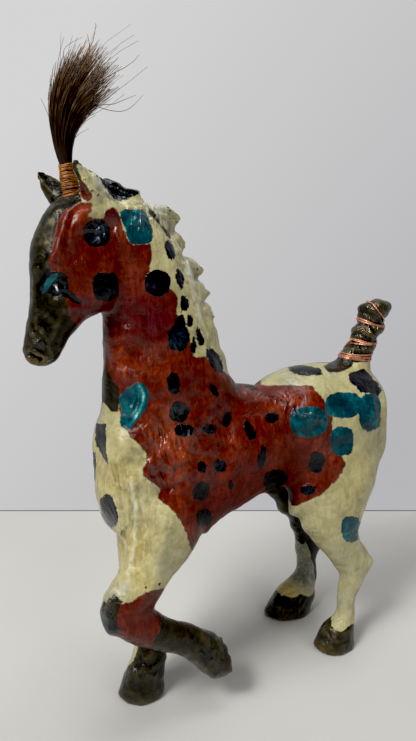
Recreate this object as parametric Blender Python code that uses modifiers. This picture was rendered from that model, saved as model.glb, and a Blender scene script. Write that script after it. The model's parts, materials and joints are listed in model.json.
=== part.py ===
"""A painted bronze horse that stands on three feet, with a horse-hair plume bound to its poll and wire on its tail.

The horse is one casting. Its form is given in shares of its own height: the tip of the near ear is 100 shares
above the floor. It faces -X, its left side is -Y, and its three standing hooves rest on Z = 0.
"""

import math

import bmesh
import bpy
import numpy as np
from mathutils import Matrix, Vector, noise
from mathutils.bvhtree import BVHTree

# Driving sizes, in metres
HORSE_HEIGHT = 0.285  # floor to the tip of the near ear
EAR_TIP_SHARE = 100.0  # the same height counted in shares
FIT_GAP = 0.0003  # left between pieces that touch

THREAD_THICKNESS = 0.00085  # copper-coloured thread wound on the plume
THREAD_PITCH = 0.00095
BINDING_LENGTH = 0.0142
BINDING_TOP_RADIUS = 0.0031  # to the outside of the thread
BINDING_FOOT_RADIUS = 0.0038

PLUME_LENGTH = 0.058  # from the top of the binding to the highest tips
SEAT_MARGIN = 0.0006  # how much wider than the binding the flat seat on the poll is

WIRE_THICKNESS = 0.0012  # copper wire on the tail
WIRE_PITCH = 0.00165  # between turns that lie side by side

# Fineness of the modelling, in metres, and the faces kept
CLAY_VOXEL = 0.0013
MASS_BLENDING = 9  # rounds of smoothing between the masses, and between them and the thin forms
THIN_BLENDING = 3
HORSE_TRIANGLES = 5300
HAIR_VOXEL = 0.0009
HAIR_TRIANGLES = 800

SHARE = HORSE_HEIGHT / EAR_TIP_SHARE
SECTION_SIDES = 20
STEPS_PER_SPAN = 4


# The horse's form: a section is (x, y, z, half depth, half width), in shares

TRUNK = [
    (-7.4, 0, 49.5, 2.5, 2.5),
    (-6.4, 0, 49.3, 8.0, 5.4),
    (-3.0, 0, 48.6, 12.0, 7.8),
    (2.0, 0, 47.3, 14.6, 9.0),
    (8.0, 0, 47.1, 15.0, 9.8),
    (15.0, 0, 48.1, 13.2, 10.2),
    (22.0, 0, 48.9, 11.8, 10.2),
    (28.0, 0, 48.6, 10.9, 9.6),
    (33.0, 0, 49.7, 12.2, 9.4),
    (38.5, 0, 50.0, 12.9, 9.9),
    (45.0, 0, 49.9, 12.7, 10.2),
    (50.5, 0, 49.4, 11.9, 9.4),
    (54.6, 0, 48.6, 9.8, 7.6),
    (56.9, 0, 48.0, 4.5, 4.0),
]

NECK = [
    (8.5, 0, 48.5, 12.0, 8.6),
    (7.0, 0, 55.5, 14.4, 8.8),
    (5.9, 0, 62.5, 12.9, 8.0),
    (4.9, 0, 69.5, 11.4, 7.2),
    (3.9, 0, 76.2, 10.4, 6.6),
    (1.4, 0, 83.2, 8.7, 6.1),
    (-1.5, 0, 88.9, 6.7, 5.4),
    (-4.6, 0, 92.3, 4.6, 4.6),
    (-6.6, 0, 93.3, 2.0, 2.2),
]

HEAD = [
    (-5.6, 0, 94.5, 2.4, 2.4),
    (-6.8, 0, 92.9, 5.4, 4.4),
    (-8.8, 0, 89.5, 7.2, 5.2),
    (-10.2, 0, 85.5, 7.9, 5.4),
    (-11.8, 0, 81.3, 7.0, 4.9),
    (-13.8, 0, 77.5, 5.0, 3.9),
    (-15.4, 0, 74.3, 3.7, 3.1),
    (-16.6, 0, 71.5, 3.4, 3.2),
    (-17.1, 0, 69.4, 2.9, 2.9),
    (-17.2, 0, 68.0, 1.2, 1.4),
]

NEAR_EAR = [
    (-5.8, -3.2, 91.8, 2.2, 1.8),
    (-7.4, -3.7, 94.7, 2.3, 1.7),
    (-9.2, -4.0, 96.9, 1.9, 1.5),
    (-10.8, -4.4, 98.9, 1.2, 1.0),
    (-11.9, -4.6, 100.5, 0.5, 0.4),
]

FAR_EAR = [
    (-8.6, 3.4, 91.6, 2.2, 1.8),
    (-10.6, 3.9, 94.2, 2.3, 1.7),
    (-12.4, 4.2, 96.4, 2.0, 1.5),
    (-14.0, 4.5, 98.3, 1.2, 1.0),
    (-15.0, 4.7, 99.6, 0.5, 0.4),
]

NEAR_HIND_LEG = [
    (44.0, -4.8, 52.0, 9.6, 4.4),
    (43.8, -5.4, 44.0, 11.0, 5.2),
    (42.4, -6.0, 36.6, 10.2, 5.2),
    (41.6, -6.5, 31.1, 8.0, 4.7),
    (42.8, -6.9, 26.7, 5.6, 3.8),
    (45.2, -7.1, 22.3, 4.3, 3.1),
    (47.4, -7.2, 18.5, 4.3, 2.8),
    (46.8, -7.3, 15.1, 3.1, 2.5),
    (45.9, -7.3, 11.9, 2.5, 2.2),
    (45.6, -7.3, 8.9, 2.3, 2.1),
    (45.3, -7.3, 6.6, 2.5, 2.3),
    (44.4, -7.3, 4.6, 3.2, 2.9),
    (43.2, -7.3, 2.4, 4.3, 3.7),
    (42.8, -7.3, 0.4, 4.7, 4.0),
    (42.8, -7.3, -1.8, 4.5, 3.8),
]

FAR_HIND_LEG = [
    (44.0, 4.8, 52.0, 9.6, 4.4),
    (43.8, 5.4, 44.0, 11.0, 5.2),
    (42.4, 6.0, 36.6, 10.0, 5.2),
    (42.6, 6.8, 31.1, 7.6, 4.7),
    (44.2, 7.4, 26.7, 5.3, 3.8),
    (46.6, 7.9, 22.3, 4.2, 3.1),
    (48.0, 8.2, 18.5, 3.9, 2.7),
    (47.5, 8.4, 14.6, 2.7, 2.3),
    (47.2, 8.4, 11.5, 2.4, 2.2),
    (47.3, 8.4, 8.8, 2.9, 2.5),
    (46.0, 8.4, 6.2, 4.0, 3.1),
    (43.8, 8.4, 3.6, 5.2, 3.8),
    (42.6, 8.4, 1.4, 5.8, 4.3),
    (42.4, 8.4, -1.8, 5.8, 4.3),
]

FAR_FORE_LEG = [
    (3.5, 5.0, 45.1, 7.0, 4.2),
    (2.8, 5.2, 39.1, 6.2, 4.2),
    (1.6, 4.8, 34.1, 4.8, 3.8),
    (0.8, 4.2, 29.1, 3.8, 3.2),
    (0.4, 3.6, 25.1, 3.5, 3.0),
    (0.4, 3.0, 21.7, 3.2, 2.8),
    (0.8, 2.4, 17.7, 2.5, 2.3),
    (1.3, 1.8, 13.7, 2.5, 2.3),
    (1.7, 1.3, 10.2, 3.1, 2.8),
    (1.2, 1.0, 7.2, 3.5, 3.1),
    (0.3, 1.0, 4.2, 4.1, 3.7),
    (-0.1, 1.0, 1.6, 4.6, 4.1),
    (-0.1, 1.0, -1.8, 4.4, 4.0),
]

NEAR_FOREARM = [
    (4.4, -5.4, 45.1, 7.4, 4.4),
    (3.2, -6.1, 39.6, 7.4, 4.6),
    (0.4, -6.4, 35.1, 6.4, 4.4),
    (-2.2, -6.6, 31.3, 5.1, 4.0),
    (-4.4, -6.8, 28.1, 4.7, 3.8),
    (-6.6, -6.8, 25.4, 4.6, 3.8),
    (-7.4, -6.8, 23.6, 3.2, 3.2),
]

NEAR_CANNON = [
    (-8.8, -6.8, 25.0, 2.8, 2.8),
    (-6.8, -6.9, 22.9, 4.2, 3.7),
    (-3.4, -7.0, 20.3, 3.9, 3.4),
    (0.2, -7.3, 17.9, 3.3, 2.9),
    (4.0, -7.7, 16.0, 3.0, 2.7),
    (6.8, -8.0, 14.0, 3.3, 3.0),
    (9.0, -8.2, 11.9, 3.7, 3.4),
    (11.2, -8.4, 10.0, 3.8, 3.7),
    (14.8, -8.5, 7.6, 3.6, 3.5),
]
RAISED_SOLE = ((12.8, -8.5, 9.4), (0.93, -0.05, -0.36))  # a point on it and the way it faces

TAIL = [
    (49.0, 0, 57.0, 4.0, 3.6),
    (51.2, 0, 61.1, 4.2, 3.8),
    (52.6, 0, 63.7, 3.0, 2.8),
    (53.4, 0, 65.4, 3.0, 2.8),
    (54.1, 0, 67.0, 3.5, 3.2),
    (54.8, 0, 68.4, 2.8, 2.6),
    (55.5, 0, 69.8, 3.4, 3.2),
    (56.3, 0, 71.4, 2.8, 2.6),
    (57.2, 0, 73.2, 3.6, 3.2),
    (58.0, 0, 74.9, 2.8, 2.6),
    (58.3, 0, 75.8, 1.2, 1.2),
]
TAIL_BAND_INDEX = 2  # the wire starts at this section and ends at the next to last

# Muscles that lie on both sides: centre (x, y, z), half sizes (x, y, z), lean in the side view in degrees
MUSCLES = [
    ((-9.0, 2.6, 82.3), (5.4, 3.1, 6.4), 10),
    ((2.0, 4.4, 49.0), (7.0, 4.8, 11.0), -18),
    ((-3.2, 3.6, 43.4), (3.6, 4.0, 8.4), 6),
    ((-3.4, 3.0, 51.0), (4.6, 4.2, 8.0), 0),
    ((13.0, 5.6, 47.5), (8.0, 4.6, 9.5), 10),
    ((35.5, 4.2, 54.6), (7.5, 4.8, 6.2), 0),
    ((50.6, 4.4, 48.0), (6.0, 4.8, 10.0), -10),
    ((36.2, 5.4, 38.6), (4.8, 4.2, 6.6), 30),
]

# Locks of the mane: root, middle and tip in the mid-plane (x, z), half breadth, half thickness, side lean
LOCKS = [
    ((-7.6, 95.2), (-3.4, 95.9), (1.3, 95.5), 2.1, 2.2, -0.9),
    ((0.4, 91.4), (5.2, 92.1), (9.1, 91.6), 2.6, 2.0, 0.2),
    ((3.6, 88.8), (7.4, 88.2), (10.3, 86.5), 2.2, 2.0, 0.6),
    ((6.0, 84.8), (10.1, 83.6), (13.7, 81.5), 2.3, 2.0, -0.5),
    ((9.0, 80.2), (12.4, 79.1), (15.3, 77.4), 2.0, 1.9, 0.5),
    ((10.6, 75.6), (13.6, 75.2), (15.8, 73.3), 2.0, 1.8, -0.2),
    ((12.2, 71.2), (14.7, 70.4), (17.0, 68.4), 2.0, 1.8, 0.4),
    ((13.6, 66.4), (16.4, 65.6), (18.8, 63.6), 2.0, 1.9, 0.0),
]

# Modelling strokes seen from the side: points (x, z), reach, height (below zero for a groove), which sides
NEAR, BOTH, FAR = -1, 0, 1
STROKES = [
    ([(-9.6, 92.6), (-12.4, 90.6), (-14.4, 87.4), (-15.4, 84.4)], 1.0, 0.75, BOTH),
    ([(-8.6, 90.2), (-11.6, 87.6), (-13.2, 84.6)], 1.0, -0.5, BOTH),
    ([(-15.0, 81.8)], 1.9, -0.9, BOTH),
    ([(-15.0, 81.9)], 0.9, 0.9, BOTH),
    ([(-13.8, 77.6), (-16.2, 74.4)], 0.9, 0.35, BOTH),
    ([(-17.6, 71.0)], 0.8, -1.0, BOTH),
    ([(-18.9, 68.8), (-17.0, 68.9), (-15.0, 69.8)], 0.5, -0.5, BOTH),
    ([(-4.6, 86.6), (-3.6, 81.0), (-6.2, 76.0), (-10.2, 74.4)], 1.1, -0.35, BOTH),
    ([(7.0, 61.0), (1.0, 56.0), (-4.0, 51.5)], 1.8, -0.6, BOTH),
    ([(14.0, 56.0), (10.4, 46.0), (8.6, 37.0)], 1.8, -0.8, BOTH),
    ([(-4.8, 46.0), (-3.2, 38.0), (-4.6, 31.0)], 1.3, -0.8, NEAR),
    ([(1.0, 43.0), (-2.0, 35.0), (-4.8, 27.0)], 1.5, 0.6, NEAR),
    ([(29.4, 49.5), (29.6, 41.5)], 2.6, -0.8, BOTH),
    ([(32.0, 54.5)], 2.8, 0.7, BOTH),
    ([(51.6, 55.0), (52.8, 44.0), (49.8, 34.0)], 1.6, -0.6, BOTH),
    ([(46.4, 27.4), (49.4, 21.4)], 1.0, -0.7, NEAR),
    ([(51.6, 17.2)], 1.4, 0.6, NEAR),
    ([(46.9, 14.0), (47.0, 8.4)], 0.8, -0.4, NEAR),
    ([(-10.2, 24.4)], 2.2, 0.5, NEAR),
    ([(-8.8, 97.0), (-10.6, 99.0)], 0.9, -0.8, NEAR),
    ([(-12.4, 96.6), (-14.0, 98.4)], 0.9, -0.8, FAR),
]
LOCK_GROOVE = (0.8, -0.55)  # reach and height of the groove on each side of a lock
HANDWORK = (0.22, 5.0)  # height and size of the unevenness that fingers leave

PLUME_FOOT = (-10.6, 94.9)  # where the plume meets the poll, in the mid-plane (x, z)
PLUME_LEAN = 10.0  # degrees that the binding leans forward
HORN_BANDS = [(42.8, -7.3, 4.4), (42.4, 8.4, 5.6), (-0.1, 1.0, 5.4)]  # top edge of each hoof: x, y, z
HORN_BAND_HEIGHT = 0.25
HOOF_REACH = 8.0

# Wisps of the plume: lean towards +X and +Y in degrees, how far it bows forward and how long it is, in plume lengths
WISPS = [
    (3, -5, 0.05, 0.90),
    (9, 12, 0.05, 0.86),
    (14, -13, 0.06, 1.0),
    (21, 4, 0.07, 1.0),
    (28, -13, 0.08, 0.98),
    (34, 12, 0.09, 0.98),
    (41, -4, 0.11, 0.90),
    (24, 22, 0.07, 0.80),
    (20, -24, 0.07, 0.80),
    (47, 9, 0.13, 0.80),
]
WISP_BREADTH = 0.078

# Wire on the tail: turns, and the rise in shares of the wound length, or None for turns that lie side by side
TAIL_ROUTE = [(4.0, None), (0.8, 0.20), (2.0, None), (0.7, 0.18), (1.8, 0.14), (0.75, 0.16)]
TAIL_LOOK = 0.06
THREAD_STEPS = 12
WIRE_STEPS = 13


def catmull_rom(a, b, c, d, t):
    """A value on the smooth curve from b to c."""
    return 0.5 * ((2 * b) + (c - a) * t + (2 * a - 5 * b + 4 * c - d) * t ** 2 + (3 * b - a - 3 * c + d) * t ** 3)


def smooth_rows(rows, steps):
    """Rows of numbers with further rows read between them from a smooth curve."""
    rows = [np.array(row, dtype=float) for row in rows]
    padded = [2 * rows[0] - rows[1]] + rows + [2 * rows[-1] - rows[-2]]
    dense = []
    for index in range(len(rows) - 1):
        for step in range(steps):
            dense.append(catmull_rom(*padded[index:index + 4], step / steps))
    dense.append(rows[-1])
    return dense


def add_loft(bm, sections, steps=STEPS_PER_SPAN, sides=SECTION_SIDES, least=0.2):
    """A closed form through elliptical sections that stand square to the line of their centres."""
    dense = smooth_rows(sections, steps)
    rings = []
    for index, row in enumerate(dense):
        before = dense[max(index - 1, 0)]
        after = dense[min(index + 1, len(dense) - 1)]
        along = Vector(after[:3] - before[:3]).normalized()
        across = Vector((0, 1, 0))
        across = (across - along * along.dot(across)).normalized()
        upward = along.cross(across)
        ring = []
        for side in range(sides):
            angle = 2 * math.pi * side / sides
            deep = max(row[3], least) * math.sin(angle)
            wide = max(row[4], least) * math.cos(angle)
            offset = upward * deep + across * wide
            ring.append(bm.verts.new(Vector(row[:3]) + offset))
        rings.append(ring)
    for lower, upper in zip(rings, rings[1:]):
        for side in range(sides):
            following = (side + 1) % sides
            bm.faces.new((lower[side], lower[following], upper[following], upper[side]))
    bm.faces.new(list(reversed(rings[0])))
    bm.faces.new(rings[-1])


def add_muscle(bm, centre, half_sizes, lean):
    """A pair of ellipsoids, one on each side."""
    for side in (-1, 1):
        place = Matrix.Translation((centre[0], side * centre[1], centre[2]))
        turn = Matrix.Rotation(math.radians(lean), 4, "Y")
        size = Matrix.Diagonal((*half_sizes, 1.0))
        bmesh.ops.create_uvsphere(bm, u_segments=20, v_segments=12, radius=1.0, matrix=place @ turn @ size)


def add_lock(bm, root, middle, tip, breadth, thickness, lean):
    """One pointed lock of the mane."""
    sections = [
        (root[0], 0, root[1], breadth * 1.1, thickness * 1.6),
        (middle[0], lean * 0.5, middle[1], breadth * 0.8, thickness),
        ((middle[0] + tip[0]) / 2, lean * 0.8, (middle[1] + tip[1]) / 2, breadth * 0.6, thickness * 0.8),
        (tip[0], lean, tip[1], breadth * 0.35, thickness * 0.45),
    ]
    add_loft(bm, sections, steps=3, sides=12)


def mesh_object(name, bm, collection):
    """A new object that takes over a bmesh."""
    bmesh.ops.recalc_face_normals(bm, faces=bm.faces)
    mesh = bpy.data.meshes.new(name)
    bm.to_mesh(mesh)
    bm.free()
    thing = bpy.data.objects.new(name, mesh)
    collection.objects.link(thing)
    return thing


def applied(thing):
    """Turn an object's modifiers into its mesh."""
    bpy.context.view_layer.update()
    depsgraph = bpy.context.evaluated_depsgraph_get()
    mesh = bpy.data.meshes.new_from_object(thing.evaluated_get(depsgraph))
    old = thing.data
    thing.modifiers.clear()
    thing.data = mesh
    mesh.name = thing.name
    bpy.data.meshes.remove(old)


def keep_triangles(thing, wanted):
    """Triangulate, then thin a mesh to about the wanted number of triangles."""
    thing.modifiers.new("Triangles", "TRIANGULATE")
    applied(thing)
    thin = thing.modifiers.new("Thin", "DECIMATE")
    thin.ratio = min(1.0, wanted / len(thing.data.polygons))
    applied(thing)


def material(name, colour, roughness, metallic):
    """A plain finish in the piece's own colour."""
    finish = bpy.data.materials.new(name)
    finish.use_nodes = True
    shader = finish.node_tree.nodes["Principled BSDF"]
    shader.inputs["Base Color"].default_value = (*colour, 1.0)
    shader.inputs["Roughness"].default_value = roughness
    shader.inputs["Metallic"].default_value = metallic
    return finish


def run_together(thing, iterations):
    """Make one skin of all the forms in a mesh and soften the joins between them."""
    skin = thing.modifiers.new("Skin", "REMESH")
    skin.mode = "VOXEL"
    skin.voxel_size = CLAY_VOXEL
    blend = thing.modifiers.new("Blend", "SMOOTH")
    blend.factor = 0.5
    blend.iterations = iterations
    applied(thing)


def rough_horse(collection):
    """The horse's masses run together softly, then its thin forms laid on them."""
    bm = bmesh.new()
    for sections in (TRUNK, NECK, HEAD, NEAR_HIND_LEG, FAR_HIND_LEG, FAR_FORE_LEG, NEAR_FOREARM, NEAR_CANNON):
        add_loft(bm, sections)
    for centre, half_sizes, lean in MUSCLES:
        add_muscle(bm, centre, half_sizes, lean)
    bmesh.ops.scale(bm, vec=(SHARE, SHARE, SHARE), verts=bm.verts)
    horse = mesh_object("horse_body", bm, collection)
    run_together(horse, MASS_BLENDING)
    bm = bmesh.new()
    for sections in (NEAR_EAR, FAR_EAR, TAIL):
        add_loft(bm, sections)
    for lock in LOCKS:
        add_lock(bm, *lock)
    bmesh.ops.scale(bm, vec=(SHARE, SHARE, SHARE), verts=bm.verts)
    bmesh.ops.recalc_face_normals(bm, faces=bm.faces)
    bm.from_mesh(horse.data)
    bm.to_mesh(horse.data)
    bm.free()
    run_together(horse, THIN_BLENDING)
    return horse


def polyline_distance(points, line):
    """The distance of each point from a broken line, or from a single point."""
    line = [np.array(corner, dtype=float) for corner in line]
    nearest = np.linalg.norm(points - line[0], axis=1)
    for start, end in zip(line, line[1:]):
        run = end - start
        share = np.clip((points - start) @ run / (run @ run), 0.0, 1.0)
        nearest = np.minimum(nearest, np.linalg.norm(points - (start + share[:, None] * run), axis=1))
    return nearest


def lock_strokes():
    """Two grooves along every lock of the mane, which part it into strands."""
    reach, height = LOCK_GROOVE
    strokes = []
    for root, middle, tip, breadth, _, _ in LOCKS:
        for shift in (-0.45, 0.45):
            offset = shift * breadth
            line = [(root[0], root[1] + offset), (middle[0], middle[1] + offset * 0.8), (tip[0], tip[1])]
            strokes.append((line, reach, height, BOTH))
    return strokes


def press_sole(places):
    """Flatten the raised hoof against the plane of its sole."""
    point, facing = (np.array(value) for value in RAISED_SOLE)
    facing = facing / np.linalg.norm(facing)
    beyond = (places - point) @ facing
    near = np.linalg.norm(places - point, axis=1) < HOOF_REACH
    return places - np.outer(np.where(near & (beyond > 0), beyond, 0.0), facing)


def model_surface(horse):
    """Press the strokes, the hooves' top edges and the uneven handwork into the skin."""
    mesh = horse.data
    count = len(mesh.vertices)
    places = np.empty(count * 3)
    normals = np.empty(count * 3)
    mesh.vertices.foreach_get("co", places)
    mesh.vertices.foreach_get("normal", normals)
    places = places.reshape(-1, 3) / SHARE
    normals = normals.reshape(-1, 3)
    side_view = places[:, [0, 2]]
    facing = np.clip(np.abs(normals[:, 1]) * 1.6, 0.0, 1.0)
    height = np.zeros(count)
    for line, reach, amount, side in STROKES + lock_strokes():
        weight = np.exp(-(polyline_distance(side_view, line) / reach) ** 2) * facing
        if side != BOTH:
            weight = weight * (places[:, 1] * side > 0)
        height += amount * weight
    for x, y, top in HORN_BANDS:
        across = np.hypot(places[:, 0] - x, places[:, 1] - y)
        edge = top - 0.25 * (places[:, 0] - x)
        band = np.exp(-((places[:, 2] - edge) / 0.9) ** 2) * (across < HOOF_REACH)
        height += HORN_BAND_HEIGHT * band
    amount, size = HANDWORK
    for index in range(count):
        height[index] += amount * noise.noise(Vector(places[index]) / size)
    places = press_sole(places + normals * height[:, None]) * SHARE
    mesh.vertices.foreach_set("co", places.ravel())
    mesh.update()


def cut_soles(thing):
    """Cut the standing hooves off flat on the floor."""
    bm = bmesh.new()
    bm.from_mesh(thing.data)
    everything = bm.verts[:] + bm.edges[:] + bm.faces[:]
    bmesh.ops.bisect_plane(bm, geom=everything, dist=0.00002, plane_co=(0, 0, 0), plane_no=(0, 0, 1), clear_inner=True)
    rim = [edge for edge in bm.edges if edge.is_boundary]
    bmesh.ops.edgeloop_fill(bm, edges=rim)
    bmesh.ops.triangulate(bm, faces=bm.faces)
    bmesh.ops.recalc_face_normals(bm, faces=bm.faces)
    bm.to_mesh(thing.data)
    bm.free()


def plume_axis():
    """The seat's middle on the poll and the direction that the binding points."""
    foot = Vector((PLUME_FOOT[0], 0, PLUME_FOOT[1])) * SHARE
    lean = math.radians(PLUME_LEAN)
    return foot, Vector((-math.sin(lean), 0, math.cos(lean)))


def along_axis(foot, axis):
    """A matrix that stands a shape on the seat."""
    return Matrix.Translation(foot) @ Vector((0, 0, 1)).rotation_difference(axis).to_matrix().to_4x4()


def cut_seat(horse, cutters):
    """A flat round seat on the poll for the foot of the plume and its binding."""
    foot, axis = plume_axis()
    height = BINDING_LENGTH
    bm = bmesh.new()
    radius = BINDING_FOOT_RADIUS + SEAT_MARGIN
    place = along_axis(foot + axis * height / 2, axis)
    bmesh.ops.create_cone(bm, cap_ends=True, segments=20, radius1=radius, radius2=radius, depth=height, matrix=place)
    cutter = mesh_object("seat_cutter", bm, cutters)
    cutter.hide_render = True
    cutter.display_type = "WIRE"
    seat = horse.modifiers.new("Seat", "BOOLEAN")
    seat.object = cutter
    seat.operation = "DIFFERENCE"
    seat.solver = "EXACT"
    horse.modifiers.new("Triangles", "TRIANGULATE")


def wire_piece(name, points, thickness, collection):
    """A closed round wire along a list of points."""
    curve = bpy.data.curves.new(name + "_line", "CURVE")
    curve.dimensions = "3D"
    curve.bevel_depth = thickness / 2
    curve.bevel_resolution = 1
    curve.use_fill_caps = True
    spline = curve.splines.new("POLY")
    spline.points.add(len(points) - 1)
    for point, place in zip(spline.points, points):
        point.co = (*place, 1.0)
    line = bpy.data.objects.new(name + "_line", curve)
    collection.objects.link(line)
    bpy.context.view_layer.update()
    depsgraph = bpy.context.evaluated_depsgraph_get()
    mesh = bpy.data.meshes.new_from_object(line.evaluated_get(depsgraph))
    bpy.data.objects.remove(line, do_unlink=True)
    bm = bmesh.new()
    bm.from_mesh(mesh)
    bpy.data.meshes.remove(mesh)
    bmesh.ops.remove_doubles(bm, verts=bm.verts, dist=0.00001)
    return mesh_object(name, bm, collection)


def plume_binding(collection):
    """Thread wound side by side round the foot of the plume."""
    foot, axis = plume_axis()
    place = along_axis(foot, axis)
    turns = BINDING_LENGTH / THREAD_PITCH
    steps = int(turns * THREAD_STEPS)
    points = []
    for step in range(steps + 1):
        share = step / steps
        angle = 2 * math.pi * turns * share
        outside = BINDING_FOOT_RADIUS + (BINDING_TOP_RADIUS - BINDING_FOOT_RADIUS) * share
        radius = outside - THREAD_THICKNESS / 2
        rise = FIT_GAP + THREAD_THICKNESS / 2 + (BINDING_LENGTH - THREAD_THICKNESS) * share
        points.append(place @ Vector((radius * math.cos(angle), radius * math.sin(angle), rise)))
    return wire_piece("plume_binding", points, THREAD_THICKNESS, collection)


def plume(collection):
    """The tuft of horse hair: one stem inside the binding that parts into wisps above it."""
    foot, axis = plume_axis()
    stem_foot = foot + axis * FIT_GAP
    stem_top = foot + axis * BINDING_LENGTH
    stem_radius = BINDING_TOP_RADIUS - THREAD_THICKNESS - 2 * FIT_GAP
    bm = bmesh.new()
    stem = [(*point, stem_radius, stem_radius) for point in (stem_foot, stem_foot.lerp(stem_top, 0.5), stem_top)]
    add_loft(bm, stem, steps=2, sides=12, least=0)
    for along, across, bend, reach in WISPS:
        lean = math.radians(along)
        swing = math.radians(across)
        out = Vector((math.sin(lean), math.sin(swing), math.cos(lean))).normalized()
        tip = stem_top + out * (PLUME_LENGTH * reach)
        middle = stem_top.lerp(tip, 0.42) + Vector((-bend * PLUME_LENGTH, 0, 0.06 * PLUME_LENGTH))
        start = stem_foot.lerp(stem_top, 0.9)
        wide = PLUME_LENGTH * WISP_BREADTH
        sections = [
            (*start, stem_radius * 0.6, stem_radius * 0.6),
            (*(stem_top + axis * stem_radius), stem_radius, stem_radius),
            (*middle, wide, wide),
            (*middle.lerp(tip, 0.5), wide * 0.9, wide * 0.9),
            (*tip, wide * 0.2, wide * 0.2),
        ]
        add_loft(bm, sections, steps=3, sides=10, least=0)
    tuft = mesh_object("plume", bm, collection)
    skin = tuft.modifiers.new("Skin", "REMESH")
    skin.mode = "VOXEL"
    skin.voxel_size = HAIR_VOXEL
    applied(tuft)
    keep_triangles(tuft, HAIR_TRIANGLES)
    return tuft


def tail_axis(share):
    """A place on the tail's middle line and the line's direction; 0 is the first turn of wire and 1 the tip."""
    line = smooth_rows(TAIL[TAIL_BAND_INDEX:-1], 12)
    at = share * (len(line) - 1)
    index = max(0, min(int(at), len(line) - 2))
    start = Vector(line[index][:3]) * SHARE
    end = Vector(line[index + 1][:3]) * SHARE
    return start.lerp(end, at - index), (end - start).normalized()


def tail_radius(skin, share, angle, clearance):
    """How far out the wire lies at one place so that it clears the lumps under it."""
    farthest = 0.0
    for near_share in (share - TAIL_LOOK, share, share + TAIL_LOOK):
        for near_angle in (angle - 0.25, angle, angle + 0.25):
            middle, along = tail_axis(min(near_share, 1.0))
            across = Vector((0, 1, 0))
            out = across * math.cos(near_angle) + along.cross(across) * math.sin(near_angle)
            hit = skin.ray_cast(middle, out)
            if hit[0] is not None:
                farthest = max(farthest, hit[3])
    return farthest + clearance


def tail_binding(horse, collection):
    """One wire wound up the tail: a band at the root, two pairs of turns, and a last slanting turn at the tip."""
    bpy.context.view_layer.update()
    skin = BVHTree.FromObject(horse, bpy.context.evaluated_depsgraph_get())
    length = (Vector(TAIL[-2][:3]) - Vector(TAIL[TAIL_BAND_INDEX][:3])).length * SHARE
    pitch = WIRE_PITCH / length
    route = [(0.0, 0.0)]
    for turns, rise in TAIL_ROUTE:
        angle, share = route[-1]
        climb = turns * pitch if rise is None else rise
        route.append((angle + 2 * math.pi * turns, share + climb))
    points = []
    for (start_angle, start), (end_angle, end) in zip(route, route[1:]):
        steps = max(1, round((end_angle - start_angle) / (2 * math.pi) * WIRE_STEPS))
        for step in range(steps):
            angle = start_angle + (end_angle - start_angle) * step / steps
            share = start + (end - start) * step / steps
            middle, along = tail_axis(min(share, 1.0))
            across = Vector((0, 1, 0))
            out = across * math.cos(angle) + along.cross(across) * math.sin(angle)
            radius = tail_radius(skin, share, angle, FIT_GAP + WIRE_THICKNESS / 2)
            points.append(middle + out * radius / math.cos(math.pi / WIRE_STEPS))
    return wire_piece("tail_binding", points, WIRE_THICKNESS, collection)


def stand_on_origin(things, collection):
    """Parent everything to an empty that centres the whole over the origin."""
    low = Vector((math.inf, math.inf))
    high = -low
    for thing in things:
        for vertex in thing.data.vertices:
            for axis in range(2):
                low[axis] = min(low[axis], vertex.co[axis])
                high[axis] = max(high[axis], vertex.co[axis])
    stand = bpy.data.objects.new("stand_point", None)
    collection.objects.link(stand)
    stand.location = (-(low.x + high.x) / 2, -(low.y + high.y) / 2, 0)
    for thing in things:
        thing.parent = stand


def build():
    for thing in list(bpy.data.objects):
        bpy.data.objects.remove(thing, do_unlink=True)
    collection = bpy.data.collections.new("bronze_horse_sculpture")
    cutters = bpy.data.collections.new("cutters")
    bpy.context.scene.collection.children.link(collection)
    bpy.context.scene.collection.children.link(cutters)
    horse = rough_horse(collection)
    model_surface(horse)
    keep_triangles(horse, HORSE_TRIANGLES)
    cut_soles(horse)
    cut_seat(horse, cutters)
    applied(horse)
    tuft = plume(collection)
    thread = plume_binding(collection)
    wire = tail_binding(horse, collection)
    finishes = [
        (horse, material("painted bronze", (0.42, 0.10, 0.05), 0.4, 0.0)),
        (tuft, material("horse hair", (0.05, 0.03, 0.02), 0.5, 0.0)),
        (thread, material("waxed copper thread", (0.55, 0.25, 0.10), 0.5, 0.2)),
        (wire, material("copper wire", (0.62, 0.30, 0.20), 0.4, 0.8)),
    ]
    for thing, finish in finishes:
        thing.data.materials.append(finish)
        thing.data.shade_smooth()
    stand_on_origin([thing for thing, _ in finishes], collection)


build()
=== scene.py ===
# %% [markdown]
# # A painted bronze horse with a plume of real hair
#
# The real object is one bronze casting, painted by hand over its brown patina, with a tuft of horse hair
# bound to its poll and copper wire wound round its tail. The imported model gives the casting's form and the
# place of everything. Here it gets its fine modelling, its paint, its hair and its thread.

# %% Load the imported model
import json
import math

import bmesh
import bpy
import numpy as np
from mathutils import Matrix, Vector, noise
from mathutils.bvhtree import BVHTree

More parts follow.
